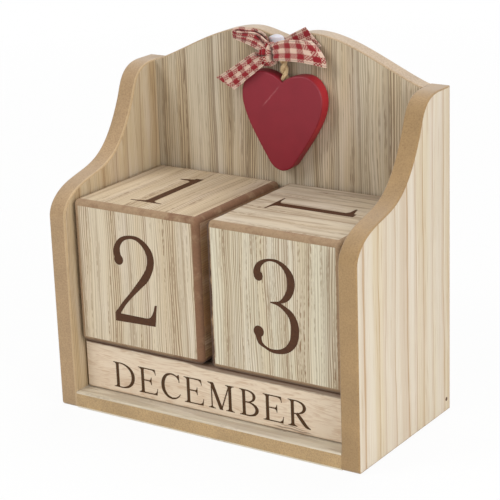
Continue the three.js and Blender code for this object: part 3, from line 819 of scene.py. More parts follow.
def cube_skin(centre, half, arris, skin, steps=5, cells=12):
    """A cube with rounded arrises: a point of a plain cube is drawn to the sphere of the arris's radius
    round the nearest point of a smaller cube. Where a face is let in, the surface steps down by its skin."""
    inner = half - arris
    bend = inner + arris * np.tan(np.linspace(0, math.pi / 4, steps + 1))
    flat_run = np.linspace(-inner, inner, cells + 1)
    line = np.concatenate([-bend[::-1], flat_run, bend])
    sunk_line = np.zeros(len(line), bool)
    sunk_line[steps + 1:-steps - 1] = True
    across, up = np.meshgrid(line, line, indexing="ij")
    sunk = sunk_line[:, None] & sunk_line[None, :]
    plain = np.stack([across, up, np.full_like(across, half)], -1).reshape(-1, 3)
    near = np.clip(plain, -inner, inner)
    away = plain - near
    away *= arris / np.linalg.norm(away, axis=1, keepdims=True)
    rounded = near + away
    rounded[:, 2] -= np.where(sunk.ravel(), skin, 0)
    faces = grid_faces(len(line), len(line)).tolist()
    return joined([(centre + rounded @ np.array(turn).T, faces) for turn in CUBE_TURNS])


def build_cubes(materials):
    """Both cubes: the block with its rounded arrises, and six thin faces, each with its own grain."""
    for hand in ("left", "right"):
        node = hand + "_cube_block"
        low, high = node_span(node)
        face_low, face_high = node_span(hand + "_cube_front_face")
        half, arris, skin = (high - low)[0] / 2, (face_low - low)[0], (face_high - face_low)[1]
        points, faces = cube_skin((low + high) / 2, half, arris, skin)
        make_piece(node + "_skin", points, faces, materials[hand + "_edge"], hand + "_cube", "block", (node,))
        for side in LOOKS_OUT:
            finish_node(f"{hand}_cube_{side}_face", materials[f"{hand}_{side}"])


# Heart and twine

# the heart's tip, the hole in its notch, its width, its depth below the notch and its rise above that
TIP = node_span("left_cube_top_face")[1][2] + 6
HEART_X = 3.2
HEART_WIDTH, HEART_DROP, HEART_RISE = 39.8, 38.6, 3.8
HEART_TILT = math.radians(-1.9)
HOLE_RADIUS, DRILL_REACH = 1.9, 8
# how far the twine hangs from the knot to the notch, where it lies in depth, and how its plies wind
TWINE_HANG = 11.3
TWINE_DEEP = 27.4
TWINE_PITCH, PLY_OFFSET, PLY_RADIUS = 9.0, 0.85, 0.93


def heart_outline(width, drop, rise, steps=48):
    """The heart's outline up from its tip, about the middle of its width, anticlockwise from the notch."""
    half, height = width / 2, drop + rise
    notch, lobe = (0, drop), (half * 0.545, height)
    widest, flank, tip = (half, height * 0.751), (half * 0.306, height * 0.082), (0, 0)
    right = np.concatenate([
        sweep(notch, 39.5, lobe, 0, (0.3, 0.44), steps),
        sweep(lobe, 0, widest, -90, (0.37, 0.37), steps),
        sweep(widest, -90, flank, 236.3, (0.26, 0.46), steps),
        sweep(flank, 236.3, tip, 180, (0.32, 0.35), steps // 2),
    ])
    left = right[1:] * [-1, 1]
    return np.concatenate([right, [tip], left[::-1]])[::-1]


def drill(piece, foot, radius, height, sides=32):
    """Cuts an upright round hole: a drill of so many sides is taken away from the piece, and then removed."""
    turn = full_turn(sides)
    ring = np.column_stack([radius * np.cos(turn), radius * np.sin(turn), 0 * turn]) + foot
    points = np.concatenate([ring, ring + [0, 0, height]]) * MM
    cutter = put_in_scene("drill", new_mesh("drill", points, closed_tube(2, sides)))
    cut = piece.modifiers.new("hole", "BOOLEAN")
    cut.operation, cut.solver, cut.object = "DIFFERENCE", "EXACT", cutter
    seen = piece.evaluated_get(bpy.context.evaluated_depsgraph_get())
    drilled = bpy.data.meshes.new_from_object(seen)
    piece.modifiers.clear()
    piece.data = drilled
    bpy.data.objects.remove(cutter)


def build_heart(settings, materials):
    """The heart: its outline with rounded rims, turned a little about the notch, and drilled down there."""
    low, high = node_span("heart_pendant")
    outline = heart_outline(HEART_WIDTH, HEART_DROP, HEART_RISE)
    radii = np.full(len(outline), settings.arris / MM)
    points, faces, flat = layer_skin(outline, 0, high[1] - low[1], radii, radii, 7)
    across, up = tilted(points[:, 0], points[:, 1] - HEART_DROP, HEART_TILT)
    placed = np.column_stack([HEART_X + across, low[1] + points[:, 2], TIP + (up + HEART_DROP)])
    heart = make_piece("painted_heart", placed, faces, materials["paint"], "hanging_heart", "paint",
                       ("heart_pendant",), flat=flat)
    foot = node_span("heart_twine")[0][2]
    drill(heart, (HEART_X, (low[1] + high[1]) / 2, foot), HOLE_RADIUS, DRILL_REACH)


def across_path(path):
    """Two directions at each point of a path, square to it and to each other: the first looks
    neither forward nor back."""
    ahead = unit(np.gradient(path, axis=0))
    side = unit(np.cross(ahead, [0.0, 1.0, 0.0]))
    return side, np.cross(ahead, side)


def tube_skin(path, radius, sides=14):
    """A round tube along a path, closed at both ends by a flat cap: rings square to the path, carried
    from one to the next without twist."""
    first, second = across_path(path)
    turn = full_turn(sides)
    spokes = np.cos(turn)[None, :, None] * first[:, None] + np.sin(turn)[None, :, None] * second[:, None]
    points = (path[:, None] + radius * spokes).reshape(-1, 3)
    uv = np.stack(np.meshgrid(run_along(path), turn * radius, indexing="ij"), -1).reshape(-1, 2)[:, ::-1]
    return points, closed_tube(len(path), sides), uv


def build_twine(materials):
    """The twine: two plies wound round each other along its route, from the heart's hole to the bow."""
    low, high = node_span("heart_twine")
    notch = TIP + HEART_DROP
    route = through([
        (HEART_X, TWINE_DEEP, low[2]),
        (HEART_X, TWINE_DEEP, notch),
        (HEART_X + 0.3, 26.5, notch + 6.2),
        (HEART_X + 0.6, 25.7, high[2] - 0.1),
    ], 140)
    side, depth = across_path(route)
    run_length = run_along(route)
    plies = []
    for ply in range(2):
        turn = (2 * math.pi * run_length / TWINE_PITCH + math.pi * ply)[:, None]
        path = route + PLY_OFFSET * (np.cos(turn) * side + np.sin(turn) * depth)
        plies.append(tube_skin(path, PLY_RADIUS))
    points, faces, uv = joined(plies)
    make_piece("twine_plies", points, faces, materials["twine"], "hanging_heart", "twine", ("heart_twine",),
               uv=uv)


# Ribbon bow

# the knot's place on the face of the back
KNOT = np.array([-3.1, 0, TIP + HEART_DROP + TWINE_HANG])
# how far the bow's foremost part stands from the back, and how many gathers the ribbon has
STAND_OFF = 8.2
LOOP_PLEATS = 3
# points across the ribbon, sections along it, and points on its fine path
RIBBON_COLUMNS, RIBBON_STEPS, RIBBON_FINE = 24, 150, 1200


def ribbon_skin(rows, width, thickness, reach, rise, slant=0.0, bulge=0.0, weave=(1.0, 0.0)):
    """A stretch of ribbon. Its middle and the direction across it follow smooth curves through the rows.
    Where it narrows towards the knot it is gathered: the cross-section is a cosine whose depth keeps the
    ribbon's true width. The cut end is slanted by running each edge further or less far along. A loop's
    fold bulges outwards by a parabola across the ribbon, deepest at its tip. Weave holds the stretch and the
    start, in millimetres, of the check along the ribbon."""
    table = np.array(rows, float)
    t_last = 1 / (1 + abs(slant))
    places = np.column_stack([table[:, 0] * reach, -table[:, 2] * STAND_OFF, table[:, 1] * rise])
    directions = unit(np.column_stack([table[:, 3], -table[:, 4], table[:, 5]]))
    middle_fine = through(places, RIBBON_FINE)
    across_fine = through(directions * table[:, 6:7], RIBBON_FINE)
    ahead_fine = unit(np.gradient(middle_fine, axis=0))
    share_fine = np.linalg.norm(across_fine, axis=1)
    u = np.linspace(-1, 1, RIBBON_COLUMNS)[None, :]
    along = np.linspace(0, 1, RIBBON_STEPS)[:, None] * t_last
    at = np.clip(along * (1 + slant * u), 0, 1) * (RIBBON_FINE - 1)
    low = np.minimum(at.astype(int), RIBBON_FINE - 2)
    part = (at - low)[..., None]

    def pick(values):
        return values[low] * (1 - part) + values[low + 1] * part

    middle, ahead = pick(middle_fine), pick(ahead_fine)
    row_at = np.clip(along * np.ones_like(u), 0, 1) / t_last * (RIBBON_FINE - 1)
    row_low = np.minimum(row_at.astype(int), RIBBON_FINE - 2)
    across = across_fine[row_low]
    share = np.clip(share_fine[row_low], 0.3, 1)[..., None]
    normal = unit(np.cross(ahead, across))
    slope = np.sqrt(np.maximum(2 * (1 / share - 1), 0))
    pleat = slope * width * share / (LOOP_PLEATS * math.pi) * 0.5
    fold = np.cos(LOOP_PLEATS * math.pi * u)[..., None]
    line = middle + across * (width / 2) * u[..., None] + normal * pleat * fold
    line[..., 0] += bulge * (1 - u**2) * (middle[..., 0] / reach) ** 4
    half_thick = unit(np.cross(np.gradient(line, axis=0), np.gradient(line, axis=1))) * thickness / 2
    # one closed ring of points round each section: over the top and back under the bottom
    ring = np.concatenate([line + half_thick, (line - half_thick)[:, ::-1]], 1)
    sides = ring.shape[1]
    faces = grid_faces(RIBBON_STEPS, sides, close_columns=True).tolist()
    last = (RIBBON_STEPS - 1) * sides
    first_cap = [[c, c + 1, sides - 2 - c, sides - 1 - c] for c in range(RIBBON_COLUMNS - 1)]
    last_cap = [[last + c for c in face][::-1] for face in first_cap]
    length_at = pick(run_along(middle_fine)[:, None])[..., 0] * weave[0] + weave[1]
    uv_top = np.stack([u * width / 2 * np.ones_like(along), length_at], -1)
    uv = np.concatenate([uv_top, uv_top[:, ::-1]], 1)
    return ring.reshape(-1, 3), faces + first_cap + last_cap, uv.reshape(-1, 2)


def knot_skin(half_width, radius, lean, rings=40, sides=64):
    """The ribbon round the knot: a barrel whose ends roll in, with three soft gathers along its width."""
    along = np.linspace(-1, 1, rings)[:, None]
    turn = full_turn(sides)[None, :]
    roll = np.sqrt(np.maximum(1 - np.abs(along) ** 5, 0))
    gather = 1 + 0.09 * np.cos(3 * math.pi * along + 1.5 * np.sin(turn)) * roll
    out = radius * roll * gather
    x = half_width * along * (1 + 0.06 * np.sin(2 * turn))
    across, up = tilted(x, out * np.sin(turn), -lean)
    points = np.stack([across, out * np.cos(turn) - (radius + 0.3), up], -1)
    uv = np.stack([(along * 2.65 - 1.75) * np.ones_like(turn), turn * radius * np.ones_like(along)], -1)
    faces = grid_faces(rings, sides, close_columns=True).tolist()
    return points.reshape(-1, 3), faces, uv.reshape(-1, 2)


# painted shade along the creases in the ribbon at the knot: start, end and half width in millimetres
CREASE_SHADOWS = (
    ((-0.5, 22.9, 154.6), (0.5, 22.4, 146.4), 1.0),
    ((-10.6, 25.1, 159.3), (-5.4, 25.2, 157.0), 0.6),
    ((-7.4, 24.4, 158.3), (-2.4, 22.9, 154.0), 0.7),
    ((-9.6, 22.0, 148.8), (-0.8, 21.2, 150.0), 0.7),
)
# rows of a stretch of ribbon, from the knot: across, up and forward as shares of its reach, its rise and the
# stand-off; the direction across it, as right, forward and up; and its width there as a share of the full one
LEFT_LOOP = (
    (0.06, 0.17, 0.79, 0.37, 0.18, 0.91, 0.6),
    (-0.06, 0.43, 0.99, 0.54, 0.15, 0.82, 0.68),
    (-0.31, 0.65, 1.01, 0.57, 0.19, 0.8, 0.76),
    (-0.54, 0.71, 0.99, 0.43, 0.24, 0.87, 0.61),
    (-0.8, 0.72, 0.9, 0.35, 0.36, 0.87, 0.47),
    (-0.98, 0.77, 0.74, 0.15, 0.2, 0.96, 0.38),
    (-0.9, 0.81, 0.6, -0.1, 0, 0.99, 0.46),
    (-0.64, 0.78, 0.63, 0.05, 0, 1, 0.55),
    (-0.38, 0.74, 0.63, 0.2, 0, 0.98, 0.6),
    (-0.22, 0.61, 0.61, 0.45, 0, 0.89, 0.6),
    (-0.13, 0.39, 0.59, 0.6, 0, 0.8, 0.55),
    (-0.05, 0.02, 0.56, 0.3, 0, 0.95, 0.5),
)
RIGHT_LOOP = (
    (0, 0.02, 0.78, 0, 0, 1, 0.55),
    (0.2, 0.19, 0.98, 0, 0, 1, 0.8),
    (0.42, 0.29, 1, -0.04, 0, 1, 0.93),
    (0.71, 0.31, 0.98, -0.15, 0, 1, 0.98),
    (0.9, 0.25, 0.88, -0.45, 0.04, 0.88, 1.15),
    (1, 0.18, 0.6, -0.58, 0, 0.81, 1.36),
    (0.92, 0.2, 0.38, -0.45, 0, 0.88, 1.15),
    (0.64, 0.18, 0.3, -0.1, 0, 1, 1),
    (0.32, 0.16, 0.3, 0, 0, 1, 0.9),
    (0, 0, 0.36, 0, 0, 1, 0.55),
)
LEFT_TAIL = (
    (-0.04, -0.03, 0.84, -0.75, -0.21, 0.62, 0.42),
    (-0.17, -0.14, 0.93, -0.72, -0.11, 0.68, 0.75),
    (-0.38, -0.38, 0.94, -0.71, -0.08, 0.7, 0.82),
    (-0.59, -0.61, 0.91, -0.71, -0.08, 0.7, 0.85),
    (-0.78, -0.82, 0.88, -0.7, -0.05, 0.71, 0.9),
    (-0.97, -1, 0.85, -0.7, -0.05, 0.72, 0.93),
)
RIGHT_TAIL = (
    (0, 0, 0.3, -0.4, 0, 0.9, 0.5),
    (0.24, 0.2, 0.15, -0.45, 0, 0.9, 0.8),
    (0.5, 0.44, 0.13, -0.48, 0, 0.88, 0.98),
    (0.8, 0.77, 0.13, -0.48, 0, 0.88, 1.03),
    (1.07, 1.07, 0.14, -0.48, 0, 0.88, 1.05),
)


def build_bow(settings, materials):
    """The bow: two loops, two tails with slanted ends, and the ribbon round the knot."""
    size = settings.width / MM, settings.thickness / MM
    points, faces, uv = joined((
        ribbon_skin(LEFT_LOOP, *size, reach=17.5, rise=9.9),
        ribbon_skin(RIGHT_LOOP, *size, reach=23.6, rise=10, bulge=2.2, weave=(1.08, 0.9)),
        ribbon_skin(LEFT_TAIL, *size, reach=24, rise=15.2, slant=0.08, weave=(1.0, 0.1)),
        ribbon_skin(RIGHT_TAIL, *size, reach=19.4, rise=8.3, slant=-0.073, weave=(1.0, 0.6)),
        knot_skin(half_width=3.3, radius=4.8, lean=math.radians(-6)),
    ))
    placed = points + KNOT + [0, place_of_boards()["panel_face"], 0]
    make_piece("ribbon_bow_cloth", placed, faces, materials["ribbon"], "box", "ribbon", ("ribbon_bow",),
               uv=uv)


def build_glue(materials):
    """The dab of glue: a flattened ball with a few soft bulges, pressed against the back."""
    low, high = node_span("glue_dab")
    aside, stretch, pressed, rings, sides = 1.2, [1.15, 1, 1.1], 0.98, 28, 40
    centre, half = (low + high) / 2 - [aside, 0, 0], (high - low) / 2 * stretch
    up = np.linspace(0, math.pi, rings)[:, None]
    turn = full_turn(sides)[None, :]
    bulge = 1 - 0.1 * np.sin(3 * turn + 1) * np.sin(up) ** 2 - 0.06 * np.cos(5 * up + turn)
    x = half[0] * np.sin(up) * np.cos(turn) * bulge
    y = np.clip(half[1] * np.sin(up) * np.sin(turn) * bulge, None, half[1] * pressed)
    z = half[2] * np.cos(up) * np.ones_like(turn)
    faces = grid_faces(rings, sides, close_columns=True).tolist()
    make_piece("glue_lump", centre + np.stack([x, y, z], -1).reshape(-1, 3), faces, materials["glue"], "box",
               "glue", ("glue_dab",))


# Lettering

# A glyph's sizes are shares of the height of a capital. Across runs from its left serif, up from its foot.
STEM = 0.13
THIN = 0.045
QUARTER = np.linspace(0, math.pi / 2, 6)
HOLLOW = np.column_stack([1 - np.sin(QUARTER), 1 - np.cos(QUARTER)])


def pen(*rows):
    """A stroke of a broad pen: quads between ribs that stand square to a smooth curve through the rows,
    each of which gives across, up and the stroke's width."""
    line = through(rows, 4 * (len(rows) - 1) + 1)
    ahead = unit(np.gradient(line[:, :2], axis=0))
    rib = np.stack([-ahead[:, 1], ahead[:, 0]], 1) * line[:, 2:] / 2
    left, right = line[:, :2] + rib, line[:, :2] - rib
    return list(np.stack([right[:-1], right[1:], left[1:], left[:-1]], 1))


def shape(*corners):
    """A plain polygon."""
    return [np.array(corners, float)]


def ball(x, y, radius):
    """A round terminal: points on a circle."""
    turn = full_turn(24)
    return [np.column_stack([x + radius * np.cos(turn), y + radius * np.sin(turn)])]


def serif(x, y, up, left=0.12, right=0.12, width=STEM, thin=0.028, rise=0.085):
    """A bracketed serif at a stem's end: a thin slab, and a hollow quarter curve up to either side."""
    reach = HOLLOW * [1, rise] + [0, thin]
    right_side = reach * [right, up] + [x + width, y]
    left_side = (reach * [-left, up] + [x, y])[::-1]
    foot = [[x - left, y], [x + width + right, y]]
    return [np.concatenate([foot, right_side, left_side])]


def stem(x, low=0.0, high=1.0, width=STEM):
    """An upright."""
    return shape((x, low), (x + width, low), (x + width, high), (x, high))


def arm(start, end, y, up, rise, lean=0.03, back=0.17):
    """A thin arm that ends in a beak: a hollow quarter curve from the arm up to the beak's point."""
    curve = HOLLOW * [-back, rise - THIN] + [end + lean - 0.025, THIN]
    outline = [(start, 0), (end, 0), (end + lean, rise), *curve[::-1].tolist(), (start, THIN)]
    return [np.array(outline) * [1, up] + [0, y]]


def tongue(start, end, y, rise):
    """The middle arm of an E or F: a thin arm that ends in a beak both ways."""
    return arm(start, end, y - THIN / 2, 1, rise, 0, 0.1) + arm(start, end, y + THIN / 2, -1, rise, 0, 0.1)


def slash(x0, y0, x1, y1, width):
    """A straight diagonal whose ends are level: its width is measured across the stroke."""
    half = width / 2 * math.hypot(x1 - x0, y1 - y0) / abs(y1 - y0)
    return shape((x0 - half, y0), (x0 + half, y0), (x1 + half, y1), (x1 - half, y1))


def full_stem(x, width=STEM):
    """An upright with serifs at its head and foot."""
    return stem(x, width=width) + serif(x, 0, 1, width=width) + serif(x, 1, -1, width=width)


def oval(*quarter):
    """A closed round sign from its upper left quarter, which runs from the top to the left flank."""
    quarter = np.array(quarter)
    upright, level = [1, -1, 1], [-1, 1, 1]
    left = np.concatenate([quarter, (quarter * upright + [0, 1, 0])[-2::-1]])
    right = (left * level + [2 * quarter[0, 0], 0, 0])[::-1]
    return pen(*left, *right[1:])


def open_letter():
    """The curve of a C or G with its upper beak."""
    curve = pen((0.78, 0.8, 0.03), (0.71, 0.905, 0.05), (0.58, 0.968, 0.055), (0.43, 0.975, 0.06),
                (0.25, 0.9, 0.1), (0.12, 0.72, 0.135), (0.075, 0.5, 0.148), (0.12, 0.27, 0.138),
                (0.27, 0.09, 0.105), (0.47, 0.02, 0.07))
    beak = shape((0.815, 1.0), (0.785, 0.995), (0.69, 0.93), (0.78, 0.8), (0.795, 0.69), (0.825, 0.69))
    return curve + beak


def glyphs():
    """Each sign's width and its parts."""
    left = 0.13
    capital_head = stem(left) + serif(left, 1, -1, right=0.03)
    capital_stem = capital_head + serif(left, 0, 1, right=0.03)
    upper_bowl = pen((0.18, 0.977, THIN), (0.4, 0.973, 0.05), (0.61, 0.895, 0.09), (0.69, 0.745, 0.138),
                     (0.61, 0.59, 0.085), (0.4, 0.495, THIN), (0.2, 0.485, THIN))
    bowl_letter = capital_head + serif(left, 0, 1) + upper_bowl
    right_arm = arm(0.4, 0.815, 1, -1, 0.26)
    return {
        "A": (1.0, slash(0.14, 0.02, 0.46, 0.98, 0.05) + slash(0.82, 0.02, 0.465, 1.0, 0.14)
            + shape((0.24, 0.33), (0.66, 0.33), (0.66, 0.375), (0.24, 0.375))
            + serif(0.12, 0, 1, 0.12, 0.12, 0.04) + serif(0.74, 0, 1, 0.1, 0.1, 0.16)),
        "B": (0.83, capital_stem
            + pen((0.18, 0.977, THIN), (0.38, 0.972, 0.05), (0.57, 0.9, 0.085), (0.635, 0.765, 0.128),
                (0.57, 0.62, 0.08), (0.4, 0.535, THIN), (0.2, 0.525, THIN))
            + pen((0.2, 0.525, THIN), (0.46, 0.515, 0.05), (0.66, 0.425, 0.1), (0.745, 0.275, 0.145),
                (0.66, 0.11, 0.1), (0.45, 0.025, 0.055), (0.2, 0.022, THIN))),
        "C": (0.85, open_letter()
            + pen((0.47, 0.02, 0.07), (0.65, 0.06, 0.055), (0.77, 0.14, 0.045), (0.85, 0.24, 0.03))),
        "D": (0.985, capital_stem
            + pen((0.18, 0.977, THIN), (0.44, 0.968, 0.05), (0.69, 0.87, 0.09), (0.855, 0.7, 0.13),
                (0.905, 0.49, 0.148), (0.845, 0.27, 0.13), (0.68, 0.1, 0.09), (0.44, 0.025, 0.05),
                (0.18, 0.022, THIN))),
        "E": (0.87, capital_stem + arm(0.2, 0.77, 1, -1, 0.22) + tongue(0.2, 0.6, 0.515, 0.17)
            + arm(0.2, 0.84, 0, 1, 0.26)),
        "F": (0.8, capital_head + serif(left, 0, 1, right=0.15)
            + arm(0.2, 0.77, 1, -1, 0.24) + tongue(0.2, 0.6, 0.5, 0.17)),
        "G": (0.97, open_letter() + pen((0.47, 0.02, 0.07), (0.65, 0.045, 0.06), (0.8, 0.12, 0.05))
            + stem(0.725, 0.08, 0.43) + serif(0.725, 0.44, -1)),
        "H": (1.06, full_stem(left) + full_stem(0.8)
            + shape((0.2, 0.48), (0.85, 0.48), (0.85, 0.525), (0.2, 0.525))),
        "I": (0.38, full_stem(0.125)),
        "J": (0.55, stem(0.27, 0.25) + serif(0.27, 1, -1)
            + pen((0.335, 0.4, STEM), (0.335, 0.22, STEM), (0.305, 0.07, 0.11), (0.22, -0.02, 0.06),
                (0.1, 0.0, 0.04)) + ball(0.09, 0.045, 0.065)),
        "L": (0.85, stem(left) + serif(left, 1, -1) + serif(left, 0, 1, right=0.03)
            + arm(0.2, 0.81, 0, 1, 0.3)),
        "M": (1.21, slash(0.185, 0.02, 0.185, 0.95, 0.05) + serif(0.16, 0, 1, 0.13, 0.13, 0.05)
            + shape((0.02, 1), (0.02, 0.972), (0.1, 0.95), (0.18, 0.9), (0.26, 1))
            + slash(0.2, 0.985, 0.59, 0.0, 0.14) + slash(0.59, 0.0, 0.95, 1.0, 0.05) + full_stem(0.91)
            + serif(0.91, 1, -1, left=0.05)),
        "N": (1.06, slash(0.2, 0.02, 0.2, 0.95, 0.05) + serif(0.175, 0, 1, 0.13, 0.13, 0.05)
            + shape((0.02, 1), (0.02, 0.972), (0.1, 0.95), (0.19, 0.9), (0.25, 1))
            + slash(0.17, 1.0, 0.86, 0.0, 0.14) + slash(0.87, 0.0, 0.87, 0.98, 0.05)
            + serif(0.845, 1, -1, 0.13, 0.13, 0.05)),
        "O": (1.0, oval((0.5, 0.98, 0.05), (0.26, 0.905, 0.1), (0.105, 0.72, 0.14), (0.07, 0.5, 0.148))),
        "P": (0.8, bowl_letter),
        "R": (0.93, bowl_letter
            + pen((0.36, 0.51, 0.1), (0.5, 0.36, 0.14), (0.66, 0.17, 0.14), (0.78, 0.055, 0.11),
                (0.93, 0.0, 0.03))),
        "S": (0.66, pen((0.565, 0.8, 0.03), (0.49, 0.92, 0.05), (0.34, 0.972, 0.055), (0.19, 0.925, 0.08),
                (0.125, 0.79, 0.125), (0.21, 0.63, 0.15), (0.39, 0.5, 0.16), (0.53, 0.36, 0.155),
                (0.565, 0.2, 0.13), (0.48, 0.06, 0.08), (0.32, 0.022, 0.055), (0.16, 0.09, 0.05),
                (0.07, 0.24, 0.03))
            + shape((0.59, 1.0), (0.565, 0.99), (0.48, 0.94), (0.55, 0.82), (0.57, 0.7), (0.6, 0.7))
            + shape((0.03, 0.0), (0.055, 0.01), (0.15, 0.07), (0.085, 0.2), (0.065, 0.31), (0.035, 0.31))),
        "T": (0.86, stem(0.365) + serif(0.365, 0, 1) + right_arm
            + [part * [-1, 1] + [0.86, 0] for part in right_arm]),
        "U": (0.98, stem(left, 0.3) + serif(left, 1, -1)
            + pen((0.195, 0.45, STEM), (0.2, 0.27, STEM), (0.28, 0.1, 0.105), (0.47, 0.025, 0.065),
                (0.67, 0.085, 0.05), (0.785, 0.26, THIN), (0.8, 0.45, THIN))
            + slash(0.8, 0.4, 0.8, 0.98, THIN) + serif(0.778, 1, -1, width=THIN)),
        "V": (0.98, slash(0.2, 0.98, 0.52, 0.0, 0.14) + slash(0.52, 0.0, 0.83, 0.98, 0.05)
            + serif(0.12, 1, -1, width=0.15, left=0.1, right=0.1) + serif(0.81, 1, -1, width=0.04)),
        "Y": (0.95, slash(0.19, 0.98, 0.475, 0.43, 0.14) + slash(0.475, 0.43, 0.79, 0.98, 0.05)
            + stem(0.41, 0, 0.47) + serif(0.41, 0, 1) + serif(0.1, 1, -1, width=0.17, left=0.09, right=0.09)
            + serif(0.77, 1, -1, width=0.045)),
        "0": (0.6, oval((0.3, 0.985, 0.03), (0.16, 0.9, 0.065), (0.075, 0.72, 0.088), (0.055, 0.5, 0.095))),
        "1": (0.4, stem(0.174, 0, 0.995, 0.096) + serif(0.174, 0, 1, 0.174, 0.13, 0.096, 0.018, 0.06)
            + shape((0.27, 1.0), (0.235, 1.0), (0.16, 0.955), (0.02, 0.918), (0.02, 0.896), (0.13, 0.893),
                (0.18, 0.86))),
        "2": (0.568, pen((0.089, 0.7, 0.092), (0.067, 0.791, 0.091), (0.087, 0.872, 0.069),
                (0.151, 0.943, 0.051), (0.252, 0.978, 0.037), (0.352, 0.97, 0.049), (0.441, 0.914, 0.069),
                (0.498, 0.835, 0.085), (0.514, 0.743, 0.091), (0.49, 0.641, 0.086), (0.428, 0.536, 0.09),
                (0.348, 0.447, 0.072), (0.232, 0.321, 0.052), (0.13, 0.209, 0.05), (0.036, 0.082, 0.056))
            + ball(0.088, 0.705, 0.06)
            + shape((0.004, 0), (0.004, 0.09), (0.022, 0.118), (0.085, 0.08), (0.1, 0))
            + shape((0.008, 0.077), (0.066, 0.087), (0.24, 0.086), (0.42, 0.086), (0.452, 0.092),
                (0.478, 0.107), (0.497, 0.132), (0.51, 0.158), (0.526, 0.2), (0.54, 0.25), (0.568, 0.255),
                (0.553, 0.145), (0.538, 0.01), (0.002, -0.007))),
        "3": (0.5, pen((0.034, 0.788, 0.089), (0.016, 0.835, 0.091), (0.032, 0.903, 0.068),
                (0.085, 0.956, 0.044), (0.16, 0.987, 0.026), (0.252, 0.987, 0.034), (0.339, 0.945, 0.055),
                (0.403, 0.866, 0.081), (0.422, 0.782, 0.092), (0.409, 0.692, 0.084), (0.361, 0.608, 0.069),
                (0.283, 0.551, 0.03), (0.227, 0.543, 0.014), (0.165, 0.534, 0.01))
            + pen((0.165, 0.534, 0.01), (0.26, 0.529, 0.04), (0.33, 0.495, 0.051), (0.408, 0.434, 0.076),
                (0.449, 0.347, 0.092), (0.455, 0.254, 0.099), (0.433, 0.145, 0.092), (0.371, 0.061, 0.074),
                (0.283, 0.014, 0.053), (0.171, 0.002, 0.038), (0.081, 0.033, 0.03), (0.022, 0.082, 0.058),
                (0.004, 0.19, 0.08)) + ball(0.03, 0.8, 0.055) + ball(0.012, 0.19, 0.063)),
        "4": (0.62, slash(0.04, 0.29, 0.42, 1.0, 0.035) + stem(0.36, 0.0, 0.985, 0.095)
            + serif(0.36, 0, 1, 0.09, 0.09, 0.095, 0.018, 0.05)
            + shape((0.015, 0.24), (0.6, 0.24), (0.6, 0.315), (0.015, 0.315))),
        "5": (0.56, shape((0.12, 0.985), (0.5, 0.985), (0.54, 1.01), (0.49, 0.885), (0.12, 0.885))
            + slash(0.095, 0.55, 0.135, 0.985, 0.03)
            + pen((0.09, 0.565, 0.03), (0.2, 0.6, 0.055), (0.35, 0.565, 0.085), (0.45, 0.45, 0.1),
                (0.475, 0.32, 0.105), (0.43, 0.15, 0.09), (0.31, 0.035, 0.055), (0.17, 0.012, 0.03),
                (0.06, 0.05, 0.04), (0.035, 0.11, 0.05)) + ball(0.06, 0.12, 0.055)),
        "6": (0.58, pen((0.53, 0.985, 0.015), (0.38, 0.9, 0.05), (0.22, 0.75, 0.085), (0.11, 0.55, 0.1),
                (0.075, 0.33, 0.1), (0.12, 0.13, 0.085), (0.23, 0.025, 0.045), (0.33, 0.02, 0.04),
                (0.45, 0.1, 0.07), (0.505, 0.3, 0.095), (0.45, 0.5, 0.08), (0.33, 0.585, 0.045),
                (0.2, 0.55, 0.03), (0.1, 0.45, 0.03))),
        "7": (0.56, shape((0.045, 0.985), (0.555, 0.985), (0.555, 0.94), (0.5, 0.89), (0.12, 0.89),
                (0.06, 0.86), (0.025, 0.76), (0.0, 0.765), (0.03, 0.9))
            + pen((0.53, 0.95, 0.05), (0.42, 0.7, 0.05), (0.32, 0.45, 0.06), (0.25, 0.2, 0.085),
                (0.225, 0.0, 0.1))),
        "8": (0.58, pen((0.29, 0.52, 0.09), (0.15, 0.63, 0.085), (0.095, 0.77, 0.075), (0.16, 0.92, 0.05),
                (0.29, 0.985, 0.03), (0.42, 0.92, 0.05), (0.475, 0.79, 0.075), (0.42, 0.65, 0.06),
                (0.29, 0.545, 0.04), (0.13, 0.43, 0.06), (0.055, 0.25, 0.088), (0.13, 0.075, 0.06),
                (0.29, 0.015, 0.032), (0.45, 0.075, 0.06), (0.53, 0.25, 0.095), (0.45, 0.4, 0.11),
                (0.29, 0.52, 0.09))),
    }


# parts with less area than the first are left out, and points nearer than the second are made one, where a
# capital is one high
SLIVER, MERGE = 1e-7, 1e-5


def inked(parts):
    """All of a sign's parts as one flat shape: points, triangles, and the edges of its outline."""
    corners, faces = [], []
    for part in parts:
        x, y = part[:, 0], part[:, 1]
        area = (x * np.roll(y, -1) - y * np.roll(x, -1)).sum() / 2
        if abs(area) > SLIVER:
            faces.append(list(range(len(corners), len(corners) + len(part))))
            corners += [Vector(corner) for corner in (part if area > 0 else part[::-1])]
    points, _, triangles, _, _, sources = delaunay_2d_cdt(corners, [], faces, 1, MERGE)
    inside = np.array([triangle for triangle, source in zip(triangles, sources) if source])
    edges = np.concatenate([inside[:, [0, 1]], inside[:, [1, 2]], inside[:, [2, 0]]])
    paired = set(map(tuple, edges[:, ::-1].tolist()))
    outline = np.array([edge for edge in edges.tolist() if tuple(edge) not in paired])
    return np.array([tuple(point) for point in points]), inside, outline


